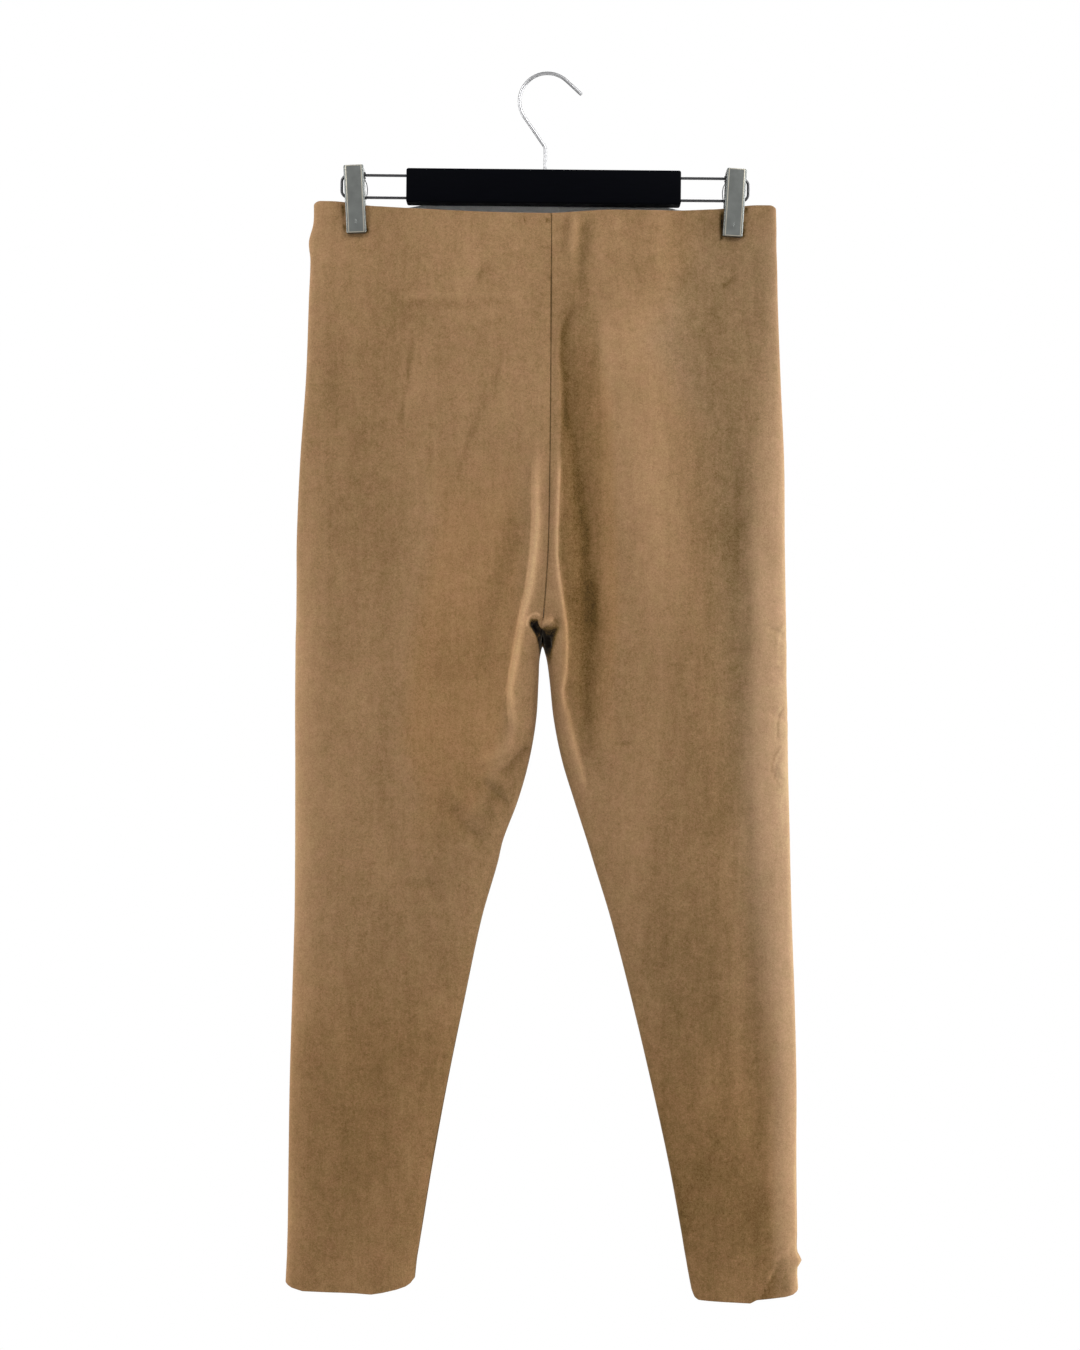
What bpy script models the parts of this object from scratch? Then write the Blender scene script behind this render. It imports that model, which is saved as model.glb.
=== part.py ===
"""Suede leggings hung by the waist from an adjustable clip hanger.

The garment is four cut panels, two fronts and two backs, each one closed wall of cloth from the
waist to the hem. They meet at the centre front and centre back seams, at the side seams and at
the inseams, with a small gap between the solids. The hanger is a moulded bar, a wire hook, two
wire loops that slide in the bar's ends, and two sprung clips that pinch the waist.

Frame: +Z up, the front faces -Y, +X is to the right of someone who looks at the front, and
left and right in names are that person's. The origin is the inside top of the hook.
The tables are in millimetres, and meshes are made in metres.
"""

import math
from collections import namedtuple

import bmesh
import bpy
from mathutils import Matrix, Vector

MM = 0.001

# Cloth, in millimetres
WALL = 1.4
SEAM_GAP = 0.3
HALF_GAP = SEAM_GAP / 2
FLAT_HALF = WALL + HALF_GAP       # from the middle plane to the outside where the cloth lies flat
PANEL_COLUMNS = 16
EDGE_EXPONENT = 2.4               # how blunt the folded edges are: 2 is an ellipse

WAIST_Z = -113.0
CROTCH_Z = -500.0
CROTCH_TOP_Z = -466.0             # where the centre seam starts to turn under
VALLEY_WIDTH = 16.0               # of the hollow between the thighs at the crotch
VALLEY_REACH_Z = -760.0           # where the inner edge has become as full as the outer one
ROUNDING_EASE = 260.0             # height above that over which the outer fold gets fuller

# Each row is a level section: the outline's x at the outer folds and at the inner edges, which
# are the centre seam above the crotch, and how far the front and the back stand off.
Section = namedtuple("Section", "z left_outer left_inner right_inner right_outer front back")
SECTIONS = [
    Section(-113, -203.3, 5.8, 5.8, 203.6, 7.0, 9.6),
    Section(-131, -203.6, 6.0, 6.0, 204.2, 8.5, 11.0),
    Section(-148, -207.4, 6.2, 6.2, 204.3, 10.5, 12.5),
    Section(-165, -205.9, 6.2, 6.2, 205.0, 12.0, 14.5),
    Section(-200, -206.8, 6.3, 6.3, 205.9, 15.0, 19.0),
    Section(-268, -208.6, 6.6, 6.6, 209.0, 18.0, 25.0),
    Section(-340, -213.0, 6.6, 6.6, 212.8, 19.0, 29.0),
    Section(-410, -215.4, 6.0, 6.0, 214.0, 19.0, 29.0),
    Section(-450, -215.2, 4.2, 4.2, 215.0, 19.0, 26.0),
    Section(-480, -215.2, 2.0, 2.0, 215.8, 18.0, 22.5),
    Section(-500, -215.6, 1.7, 1.7, 216.4, 17.5, 20.5),
    Section(-515, -215.6, -0.6, 5.4, 216.5, 17.0, 20.0),
    Section(-532, -215.6, -1.2, 7.9, 216.7, 17.0, 20.0),
    Section(-567, -215.4, -3.0, 12.0, 218.0, 17.0, 20.0),
    Section(-603, -214.9, -8.8, 19.6, 218.6, 17.0, 20.0),
    Section(-638, -214.6, -17.6, 30.6, 219.8, 16.5, 19.0),
    Section(-673, -214.3, -28.4, 42.2, 221.0, 16.0, 18.0),
    Section(-743, -214.2, -48.6, 64.2, 223.4, 15.0, 16.5),
    Section(-814, -215.6, -63.8, 83.2, 226.6, 14.0, 15.0),
    Section(-884, -217.0, -77.4, 100.4, 228.8, 13.0, 14.0),
    Section(-955, -217.4, -89.8, 116.6, 229.4, 12.0, 13.0),
    Section(-1016, -217.6, -99.2, 128.4, 231.4, 11.5, 12.0),
    Section(-1043, -218.0, -102.8, 132.8, 233.8, 11.0, 12.0),
    Section(-1076, -219.0, -105.0, 138.0, 232.4, 11.0, 12.0),
]

# Rows of a panel's mesh: how many there are from each height down to the next mark.
RowMark = namedtuple("RowMark", "z rows")
ROW_MARKS = [
    RowMark(-113, 4),
    RowMark(-148, 3),
    RowMark(-200, 6),
    RowMark(-466, 6),
    RowMark(-500, 5),
    RowMark(-603, 8),
    RowMark(-955, 5),
    RowMark(-1076, 0),
]

# The largest soft folds of the front: a ridge stands out, and a trough has a negative height.
Fold = namedtuple("Fold", "x_top z_top x_low z_low width height")
FRONT_FOLDS = [
    Fold(6.2, -290, 3.5, -478, 8.0, -4.5),
    Fold(-3.5, -340, -20.0, -500, 9.0, 2.2),
    Fold(-20.0, -500, -24.0, -590, 10.0, 2.2),
    Fold(16.0, -320, 25.0, -500, 8.0, 2.4),
    Fold(25.0, -500, 34.0, -620, 10.0, 2.0),
    Fold(31.0, -300, 44.0, -540, 15.0, -3.0),
]
BACK_FOLDS = [
    Fold(6.2, -250, 3.0, -478, 10.0, -5.0),
    Fold(-30.0, -450, -90.0, -560, 16.0, -3.0),
    Fold(38.0, -450, 96.0, -560, 16.0, -3.0),
]
FOLD_FADE = 40.0                  # length over which a fold runs out at each end
FOLD_EDGE_EASE = 1.6              # how soon a fold dies out towards the folded edges

# Waist and hems
WAIST_STEP = 4.1                  # the edge is lower between the clips than outside them
WAIST_SPAN = 145.0                # half of the edge between the clips
WAIST_DIP = 5.5                   # of the front edge's middle
WAIST_LIFT = 1.9                  # of the back edge's middle, which stays under the bar
WAIST_EASE = 55.0                 # height over which the edge's curve dies out
CORNER_REACH = 6.0
CORNER_DROP = 3.0
HEM_RISE = 3.4                    # at the folds, above the hem's middle
HEM_EASE = 70.0
CORNER_SPREAD = 1.8               # how far a hem's corner reaches in, for each mm that it rises
Hem = namedtuple("Hem", "lift tilt inner_corner outer_corner")
HEMS = {"left": Hem(4.4, -0.6, 12.0, 5.0), "right": Hem(-2.6, 4.6, 2.5, 7.0)}

# Clips, in the front view
CLIP_X = 166.6                    # middle of the cloth that the jaws hold
CLIP_CENTRE_X = 167.1
CLIP_TOP_Z = -81.4
CLIP_CENTRE_Z = -101.5            # about which the clip leans
CLIP_HEIGHT = 60.2
CLIP_WIDTH = 17.6
CLIP_LEAN = math.radians(3.0)     # the tops lean outwards
JAW_EDGE_Y = FLAT_HALF + SEAM_GAP
JAW_TOP_DEPTH = 9.4               # front face of the jaw, from the middle plane
JAW_LOW_DEPTH = 6.4
JAW_WALL = 0.9
JAW_ROUND = 1.1                   # of the pressed edges round the jaw's face
PINCH_FLAT = 13.0                 # half width of the cloth that the jaws hold flat
PINCH_REACH = 62.0
PINCH_LOW_Z = -146.0
PINCH_END_Z = -270.0
PIN_Z = -99.7
PIN_RADIUS = 1.3
SPRING_RADIUS = 3.6
SPRING_LENGTH = 10.0
ROUND_STEPS = 16                  # sides of pins, bores and springs

# Bar, loops and hook
BAR_X = -1.2
BAR_LENGTH = 241.0
BAR_DEPTH = 16.0
BAR_TOP_Z = -84.5
BAR_BOTTOM_Z = -114.5
BAR_ROUND = 1.6
ROD_RADIUS = 1.2
ROD_UPPER_Z = -89.8
ROD_LOWER_Z = -109.4
ROD_OUTER_X = 180.0
ROD_BEND = 6.0
ROD_IN_BAR = 30.0
BORE_CLEARANCE = 0.3
BORE_DEEPER = 1.0                 # a bore is this much deeper than its wire's end
BORE_PAST = 4.0                   # a cutter stands this far out of the bore's mouth
HOOK_RADIUS = 1.5
HOOK_BOW = 24.6                   # radius of the bow, on the wire's centre line
HOOK_CENTRE_X = 1.5
HOOK_STEM_Z = -63.8               # where the stem ends and the neck leans left
HOOK_NECK_BEND = 7.0
HOOK_TIP_ANGLE = math.radians(42) # where the bow becomes the straight tip
HOOK_TIP_LENGTH = 18.0
HOOK_IN_BAR = 14.0


def clamp(value, low=0.0, high=1.0):
    """Return the value held between low and high."""
    return max(low, min(high, value))


def smooth(value):
    """Return an S-shaped step from 0 to 1."""
    value = clamp(value)
    return value * value * (3.0 - 2.0 * value)


def section_at(z):
    """Return the section at a height, on a smooth curve through the table's rows."""
    last = len(SECTIONS) - 1
    if z >= SECTIONS[0].z:
        return SECTIONS[0]
    if z <= SECTIONS[last].z:
        return SECTIONS[last]
    low = next(i for i in range(last) if SECTIONS[i + 1].z <= z)
    rows = [SECTIONS[clamp(low + step, 0, last)] for step in (-1, 0, 1, 2)]
    before, start, end, after = rows
    span = end.z - start.z
    t = (z - start.z) / span
    values = [z]
    for name in Section._fields[1:]:
        a, b, c, d = (getattr(row, name) for row in rows)
        slope_b = (c - a) / (end.z - before.z) * span
        slope_c = (d - b) / (after.z - start.z) * span
        values.append((2 * t**3 - 3 * t**2 + 1) * b + (t**3 - 2 * t**2 + t) * slope_b
                      + (3 * t**2 - 2 * t**3) * c + (t**3 - t**2) * slope_c)
    return Section(*values)


def fold_height(folds, x, z):
    """Return how far the folds lift the cloth at a place of the front view."""
    height = 0.0
    for fold in folds:
        run = Vector((fold.x_low - fold.x_top, fold.z_low - fold.z_top))
        place = Vector((x - fold.x_top, z - fold.z_top))
        along = place.dot(run.normalized())
        across = abs(place.x * run.y - place.y * run.x) / run.length
        ends = smooth(along / FOLD_FADE + 0.5) * smooth((run.length - along) / FOLD_FADE + 0.5)
        height += fold.height * ends * math.exp(-(across / fold.width) ** 2)
    return height


def pinch(x, z):
    """Return 1 where the jaws hold the cloth flat, falling to 0 away from them."""
    side = 1.0 - smooth((abs(abs(x) - CLIP_X) - PINCH_FLAT) / PINCH_REACH)
    down = 1.0 - smooth((PINCH_LOW_Z - z) / (PINCH_LOW_Z - PINCH_END_Z))
    return side * down


def blunt(distance):
    """Return the height of a rounded edge at a distance of 0 to 1 from it."""
    return (1.0 - (1.0 - clamp(distance)) ** EDGE_EXPONENT) ** (1.0 / EDGE_EXPONENT)


def quarter(distance, radius):
    """Return the height, 0 to 1, of a small round edge of the given radius."""
    return math.sqrt(1.0 - (1.0 - clamp(distance / radius)) ** 2)


def spread(t):
    """Return the place across a panel for a column, closer together at both edges."""
    near = t ** 2
    far = (1.0 - t) ** 2
    return near / (near + far)


def corner_rise(gap, height):
    """Return how far a hem's rounded corner rises at a distance from the fold."""
    return height * (1.0 - clamp(gap / (CORNER_SPREAD * height))) ** 2


def edge_height(side, hand, x, outer_gap, inner_gap, z):
    """Return the height of a point: the waist edge dips or lifts, and the hem's corners rise."""
    middle = 1.0 - clamp(abs(x) / WAIST_SPAN) ** 2
    between = 1.0 - smooth((abs(x) - WAIST_SPAN) / (2 * (CLIP_X - WAIST_SPAN)))
    top = clamp(1.0 - (WAIST_Z - z) / WAIST_EASE)
    curve = (-WAIST_DIP if side == "front" else WAIST_LIFT) * middle - WAIST_STEP * between
    corner = CORNER_DROP * (1.0 - clamp(outer_gap / CORNER_REACH)) ** 2
    low = clamp(1.0 - (z - SECTIONS[-1].z) / HEM_EASE)
    width = outer_gap + inner_gap
    bow = abs((outer_gap - inner_gap) / width) ** 4
    hem = HEMS[hand]
    corners = corner_rise(inner_gap, hem.inner_corner) + corner_rise(outer_gap, hem.outer_corner)
    rise = hem.lift + hem.tilt * inner_gap / width + HEM_RISE * bow + corners
    return z + top * (curve - corner) + low * low * rise


def torso_share(level):
    """Return 1 on the torso and 0 on the legs, with the crotch curve's rounding between."""
    turned = clamp((CROTCH_TOP_Z - level) / (CROTCH_TOP_Z - CROTCH_Z))
    return math.sqrt(1.0 - turned ** 2)


def fullness(level, width, outer_gap, inner_gap):
    """Return how full a section is at a place, 0 at a folded edge and 1 in the middle."""
    half = width / 2
    reach = VALLEY_WIDTH + (half - VALLEY_WIDTH) * smooth(
        (CROTCH_TOP_Z - level) / (CROTCH_TOP_Z - VALLEY_REACH_Z))
    torso = torso_share(level)
    inner_form = torso + (1.0 - torso) * blunt(inner_gap / reach)
    outer_reach = half + half * clamp((level - VALLEY_REACH_Z) / ROUNDING_EASE)
    return blunt(outer_gap / outer_reach) * inner_form


def stand_off(side, x, level, depth, form):
    """Return how far the cloth stands off from where it would lie if pressed flat."""
    folds = FRONT_FOLDS if side == "front" else BACK_FOLDS
    fold = fold_height(folds, x, level) * form * smooth(form * FOLD_EDGE_EASE)
    return max(form * (depth - FLAT_HALF) + fold, 0.0) * (1.0 - pinch(x, level))


def panel_point(side, hand, t, level, inside):
    """Return one point of a panel's outer or inner face, in millimetres.

    side is front or back, hand is left or right, t runs from the inner edge to the side seam,
    and level is the height of the row.
    """
    row = section_at(level)
    inner = row.left_inner if hand == "left" else row.right_inner
    if level >= CROTCH_Z:
        inner = (row.left_inner + row.right_inner) / 2
    outer = row.left_outer if hand == "left" else row.right_outer
    out = -1.0 if hand == "left" else 1.0
    torso = torso_share(level)
    thickness = WALL if inside else 0.0
    start = inner + out * (HALF_GAP + thickness * (1.0 - torso))
    end = outer - out * thickness
    s = spread(t)
    x = start + (end - start) * s
    width = abs(outer - inner)
    outer_gap = (1.0 - s) * width
    inner_gap = s * width
    form = fullness(level, width, outer_gap, inner_gap)
    round_inner = torso + (1.0 - torso) * quarter(inner_gap, FLAT_HALF)
    round_edge = quarter(outer_gap, FLAT_HALF) * round_inner
    depth = row.front if side == "front" else row.back
    flat = (FLAT_HALF - HALF_GAP - thickness) * round_edge
    y = HALF_GAP + flat + stand_off(side, x, level, depth, form)
    z = edge_height(side, hand, x, outer_gap, inner_gap, level)
    return Vector((x, -y if side == "front" else y, z))


def row_levels():
    """Return the heights of a panel's rows, closer together at the waist and the crotch."""
    levels = []
    for mark, end in zip(ROW_MARKS, ROW_MARKS[1:]):
        levels += [mark.z + (end.z - mark.z) * step / mark.rows for step in range(mark.rows)]
    return levels + [ROW_MARKS[-1].z]


def material(name, colour, roughness, metallic=0.0):
    """Return a Principled material."""
    made = bpy.data.materials.new(name)
    made.use_nodes = True
    shader = made.node_tree.nodes["Principled BSDF"]
    shader.inputs["Base Color"].default_value = (*colour, 1.0)
    shader.inputs["Roughness"].default_value = roughness
    shader.inputs["Metallic"].default_value = metallic
    return made


def place(bm, name, finish, smooth_angle=None):
    """Turn a bmesh in millimetres into a scene object in metres."""
    bmesh.ops.scale(bm, vec=(MM, MM, MM), verts=bm.verts)
    bmesh.ops.recalc_face_normals(bm, faces=bm.faces)
    mesh = bpy.data.meshes.new(name)
    bm.to_mesh(mesh)
    bm.free()
    mesh.materials.append(finish)
    if smooth_angle is not None:
        mesh.shade_smooth()
        mesh.set_sharp_from_angle(angle=smooth_angle)
    made = bpy.data.objects.new(name, mesh)
    bpy.context.scene.collection.objects.link(made)
    return made


def make_panel(side, hand, finish):
    """Make one cut panel as a closed wall of cloth from the waist to the hem."""
    levels = row_levels()
    bm = bmesh.new()
    bmesh.ops.create_grid(bm, x_segments=PANEL_COLUMNS, y_segments=len(levels) - 1, size=0.5)
    sheet = bmesh.ops.extrude_face_region(bm, geom=bm.faces[:], use_keep_orig=True)
    inner = {item for item in sheet["geom"] if isinstance(item, bmesh.types.BMVert)}
    for vert in bm.verts:
        t = vert.co.x + 0.5
        level = levels[round((0.5 - vert.co.y) * (len(levels) - 1))]
        vert.co = panel_point(side, hand, t, level, vert in inner)
    return place(bm, f"{side}_{hand}", finish, smooth_angle=math.radians(40))


def make_wire(name, points, radius, finish, resolution=3):
    """Make a closed round wire along a row of points in the XZ plane."""
    curve = bpy.data.curves.new(name, "CURVE")
    curve.dimensions = "3D"
    curve.bevel_depth = radius * MM
    curve.bevel_resolution = resolution
    curve.use_fill_caps = True
    spline = curve.splines.new("POLY")
    spline.points.add(len(points) - 1)
    for point, (x, z) in zip(spline.points, points):
        point.co = (x * MM, 0.0, z * MM, 1.0)
    curve.materials.append(finish)
    made = bpy.data.objects.new(name, curve)
    bpy.context.scene.collection.objects.link(made)
    return made


def arc(centre_x, centre_z, radius, start, end, steps):
    """Return points on an arc in the XZ plane, angles counted from +X towards +Z."""
    angles = [start + (end - start) * step / steps for step in range(steps + 1)]
    return [(centre_x + radius * math.cos(a), centre_z + radius * math.sin(a)) for a in angles]


def hook_points():
    """Return the hook's centre line: stem, neck, bow and straight tip."""
    centre_z = HOOK_RADIUS - HOOK_BOW
    to_centre = Vector((HOOK_CENTRE_X, centre_z - HOOK_STEM_Z))
    lean = math.asin(HOOK_BOW / to_centre.length) - math.atan2(to_centre.x, to_centre.y)
    bow_start = math.pi + lean
    trim = HOOK_NECK_BEND * math.tan(lean / 2)
    neck = arc(-HOOK_NECK_BEND, HOOK_STEM_Z - trim, HOOK_NECK_BEND, 0.0, lean, 5)
    bow = arc(HOOK_CENTRE_X, centre_z, HOOK_BOW, bow_start, math.pi / 2 - HOOK_TIP_ANGLE, 30)
    tip_x, tip_z = bow[-1]
    tip = (tip_x + HOOK_TIP_LENGTH * math.cos(HOOK_TIP_ANGLE),
           tip_z - HOOK_TIP_LENGTH * math.sin(HOOK_TIP_ANGLE))
    return [(0.0, BAR_TOP_Z - HOOK_IN_BAR)] + neck + bow + [tip]


def rod_points(out):
    """Return the centre line of one wire loop: in from the bar, round the bend and back."""
    bar_end = BAR_X + out * (BAR_LENGTH / 2 - ROD_IN_BAR)
    corner_x = ROD_OUTER_X - ROD_RADIUS - ROD_BEND
    upper = arc(corner_x, ROD_UPPER_Z - ROD_BEND, ROD_BEND, math.pi / 2, 0.0, 6)
    lower = arc(corner_x, ROD_LOWER_Z + ROD_BEND, ROD_BEND, 0.0, -math.pi / 2, 6)
    bend = [(out * x, z) for x, z in upper + lower]
    return [(bar_end, ROD_UPPER_Z)] + bend + [(bar_end, ROD_LOWER_Z)]


def make_cutter(name, radius, start, end):
    """Make a round cutter between two points, hidden from renders."""
    axis = Vector(end) - Vector(start)
    bm = bmesh.new()
    bmesh.ops.create_cone(bm, cap_ends=True, segments=ROUND_STEPS, radius1=radius, radius2=radius,
                          depth=axis.length)
    turn = Vector((0, 0, 1)).rotation_difference(axis).to_matrix().to_4x4()
    bmesh.ops.transform(bm, matrix=Matrix.Translation((Vector(start) + Vector(end)) / 2) @ turn,
                        verts=bm.verts)
    cutter = place(bm, name, bpy.data.materials["bar black"])
    cutter.hide_render = True
    cutter.display_type = "WIRE"
    return cutter


def bore(target, cutter):
    """Cut a bore in the target with a live boolean."""
    cut = target.modifiers.new(cutter.name, "BOOLEAN")
    cut.operation = "DIFFERENCE"
    cut.solver = "EXACT"
    cut.object = cutter


def make_bar(finish):
    """Make the moulded bar with its rounded edges and the bores for the hook and the loops."""
    bm = bmesh.new()
    bmesh.ops.create_cube(bm, size=1.0)
    height = BAR_TOP_Z - BAR_BOTTOM_Z
    bmesh.ops.scale(bm, vec=(BAR_LENGTH, BAR_DEPTH, height), verts=bm.verts)
    bmesh.ops.bevel(bm, geom=bm.edges[:], offset=BAR_ROUND, segments=2, profile=0.5,
                    affect="EDGES", clamp_overlap=True)
    bmesh.ops.translate(bm, vec=(BAR_X, 0, (BAR_TOP_Z + BAR_BOTTOM_Z) / 2), verts=bm.verts)
    bar = place(bm, "hanger_bar", finish, smooth_angle=math.radians(40))
    hook_bore = make_cutter("cut_hook", HOOK_RADIUS + BORE_CLEARANCE, (0, 0, BAR_TOP_Z + BORE_PAST),
                            (0, 0, BAR_TOP_Z - HOOK_IN_BAR - BORE_DEEPER))
    bore(bar, hook_bore)
    for hand, out in (("left", -1), ("right", 1)):
        for level, z in (("upper", ROD_UPPER_Z), ("lower", ROD_LOWER_Z)):
            mouth = BAR_X + out * (BAR_LENGTH / 2 + BORE_PAST)
            end = BAR_X + out * (BAR_LENGTH / 2 - ROD_IN_BAR - BORE_DEEPER)
            cutter = make_cutter(f"cut_{hand}_{level}", ROD_RADIUS + BORE_CLEARANCE,
                                 (mouth, 0, z), (end, 0, z))
            bore(bar, cutter)
    return bar


def clip_matrix(out):
    """Return the place of a clip: its middle on the waist, leaning outwards at the top."""
    centre = Vector((out * CLIP_CENTRE_X, 0, CLIP_CENTRE_Z))
    return Matrix.Translation(centre) @ Matrix.Rotation(out * CLIP_LEAN, 4, "Y")


def make_jaw(name, out, facing, finish):
    """Make one pressed steel jaw: a shallow tray, open towards the cloth."""
    bm = bmesh.new()
    bmesh.ops.create_cube(bm, size=1.0)
    top = CLIP_TOP_Z - CLIP_CENTRE_Z
    low = top - CLIP_HEIGHT
    for vert in bm.verts:
        is_top = vert.co.z > 0
        depth = JAW_TOP_DEPTH if is_top else JAW_LOW_DEPTH
        vert.co.x *= CLIP_WIDTH
        vert.co.y = -depth if vert.co.y < 0 else -JAW_EDGE_Y
        vert.co.z = top if is_top else low
    fronts = [edge for edge in bm.edges if all(v.co.y < -JAW_EDGE_Y for v in edge.verts)]
    bmesh.ops.bevel(bm, geom=fronts, offset=JAW_ROUND, segments=2, profile=0.5, affect="EDGES",
                    clamp_overlap=True)
    bm.faces.ensure_lookup_table()
    back = max(bm.faces, key=lambda face: face.calc_center_median().y)
    bmesh.ops.inset_region(bm, faces=[back], thickness=JAW_WALL, use_even_offset=True)
    tray = bmesh.ops.extrude_face_region(bm, geom=[back])
    floor = [item for item in tray["geom"] if isinstance(item, bmesh.types.BMVert)]
    bmesh.ops.delete(bm, geom=[back], context="FACES_ONLY")
    middle = (top + low) / 2
    for vert in floor:
        depth = JAW_TOP_DEPTH if vert.co.z > middle else JAW_LOW_DEPTH
        vert.co.y = -depth + JAW_WALL
    if facing == "back":
        bmesh.ops.mirror(bm, geom=bm.verts[:] + bm.edges[:] + bm.faces[:], axis="Y",
                         merge_dist=-1.0)
        front_half = [vert for vert in bm.verts if vert.co.y < 0]
        bmesh.ops.delete(bm, geom=front_half, context="VERTS")
    bmesh.ops.transform(bm, matrix=clip_matrix(out), verts=bm.verts)
    return place(bm, name, finish, smooth_angle=math.radians(35))


def make_pin(name, out, finish):
    """Make the pivot pin that lies across a clip."""
    bm = bmesh.new()
    bmesh.ops.create_cone(bm, cap_ends=True, segments=ROUND_STEPS, radius1=PIN_RADIUS,
                          radius2=PIN_RADIUS, depth=CLIP_WIDTH)
    bmesh.ops.rotate(bm, cent=(0, 0, 0), matrix=Matrix.Rotation(math.pi / 2, 3, "Y"),
                     verts=bm.verts)
    bmesh.ops.translate(bm, vec=(0, 0, PIN_Z - CLIP_CENTRE_Z), verts=bm.verts)
    bmesh.ops.transform(bm, matrix=clip_matrix(out), verts=bm.verts)
    return place(bm, name, finish, smooth_angle=math.radians(35))


def make_spring(name, out, finish):
    """Make the spring as one sleeve of its outer shape round the pin."""
    bm = bmesh.new()
    inner = PIN_RADIUS + BORE_CLEARANCE
    half = SPRING_LENGTH / 2
    corners = [(-half, inner), (half, inner), (half, SPRING_RADIUS), (-half, SPRING_RADIUS)]
    verts = [bm.verts.new((x, 0, radius)) for x, radius in corners]
    edges = [bm.edges.new((verts[i], verts[(i + 1) % 4])) for i in range(4)]
    bmesh.ops.spin(bm, geom=verts + edges, cent=(0, 0, 0), axis=(1, 0, 0), angle=math.tau,
                   steps=ROUND_STEPS, use_merge=True)
    bmesh.ops.translate(bm, vec=(0, 0, PIN_Z - CLIP_CENTRE_Z), verts=bm.verts)
    bmesh.ops.transform(bm, matrix=clip_matrix(out), verts=bm.verts)
    return place(bm, name, finish, smooth_angle=math.radians(35))


def make_clip(hand, out, steel):
    """Make one clip: two jaws, the pin and the spring."""
    make_jaw(f"clip_{hand}_front", out, "front", steel)
    make_jaw(f"clip_{hand}_back", out, "back", steel)
    make_pin(f"clip_{hand}_pin", out, steel)
    make_spring(f"clip_{hand}_spring", out, steel)


def main():
    """Clear the scene and make the garment and its hanger."""
    for old in list(bpy.data.objects):
        bpy.data.objects.remove(old)
    suede = material("camel suede", (0.29, 0.18, 0.09), 0.95)
    black = material("bar black", (0.006, 0.006, 0.008), 0.35)
    chrome = material("chrome wire", (0.75, 0.75, 0.75), 0.12, 1.0)
    steel = material("clip steel", (0.35, 0.37, 0.35), 0.38, 1.0)
    for side in ("front", "back"):
        for hand in ("left", "right"):
            make_panel(side, hand, suede)
    make_bar(black)
    make_wire("hanger_hook", hook_points(), HOOK_RADIUS, chrome, resolution=4)
    for hand, out in (("left", -1), ("right", 1)):
        make_wire(f"rod_{hand}", rod_points(out), ROD_RADIUS, chrome)
        make_clip(hand, out, steel)


main()
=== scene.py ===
"""Looks of the suede leggings that hang by the waist from a clip hanger.

The garment is four cut panels of suede-faced knit, each a thin shell that lies on its CAD solid,
with its listed creases. The hanger is a moulded bar, a wire hook, two wire loops and two
sprung clips. Tables are in millimetres in the row frame (+Z up, the front faces -Y), and meshes
are in metres.
"""

import logging
import math
from collections.abc import Iterable
from dataclasses import dataclass, field
from enum import Enum

import bmesh
import bpy
import numpy as np
from mathutils import Matrix, Quaternion, Vector


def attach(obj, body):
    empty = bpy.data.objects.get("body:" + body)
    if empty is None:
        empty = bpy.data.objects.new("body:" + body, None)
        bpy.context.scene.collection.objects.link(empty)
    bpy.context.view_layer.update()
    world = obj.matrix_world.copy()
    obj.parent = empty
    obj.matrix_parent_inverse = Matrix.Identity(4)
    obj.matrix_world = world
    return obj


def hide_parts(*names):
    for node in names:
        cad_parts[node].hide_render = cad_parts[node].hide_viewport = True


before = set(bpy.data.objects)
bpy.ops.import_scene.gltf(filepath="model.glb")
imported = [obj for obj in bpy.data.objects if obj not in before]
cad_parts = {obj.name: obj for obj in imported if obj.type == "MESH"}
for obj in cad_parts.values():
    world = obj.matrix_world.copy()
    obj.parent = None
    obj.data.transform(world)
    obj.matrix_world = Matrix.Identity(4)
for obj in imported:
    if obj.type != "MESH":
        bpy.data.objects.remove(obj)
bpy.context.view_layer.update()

LOG = logging.getLogger("leggings")
MM = 0.001
SHARP_ANGLE = math.radians(35.0)

Array = np.ndarray
Material = bpy.types.Material
Piece = bpy.types.Object
Shape = bmesh.types.BMesh
Vertex = bmesh.types.BMVert
Socket = bpy.types.NodeSocket
Triple = tuple[float, float, float]
Colour = Triple
Place = tuple[float, float]
Value = Socket | float | Colour


class Slot(Enum):
    """Material slots of the record."""

    SUEDE = "suede"
    BAR = "bar"
    CHROME = "chrome"
    STEEL = "steel"


class Signed(Enum):
    """One of two sides, with the sign of the axis on which it lies."""

    @property
    def word(self) -> str:
        """Return the side's word as it stands in piece names."""
        return self.name.lower()


class Side(Signed):
    """Front and back of the garment and of a clip, with the sign of Y."""

    FRONT = -1
    BACK = 1


class Hand(Signed):
    """Left and right as seen from the front, with the sign of X."""

    LEFT = -1
    RIGHT = 1


def smooth(value: Array | float) -> Array:
    """Return an S-shaped step: 0 for values below 0 and 1 for values above 1."""
    held = np.clip(value, 0.0, 1.0)
    return held * held * (3.0 - 2.0 * held)


def quarter(distance: Array, radius: float | Array) -> Array:
    """Return the height, 0 to 1, of a small round at some distances from its edge."""
    return np.sqrt(1.0 - (1.0 - np.clip(distance / radius, 0.0, 1.0)) ** 2)


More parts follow.
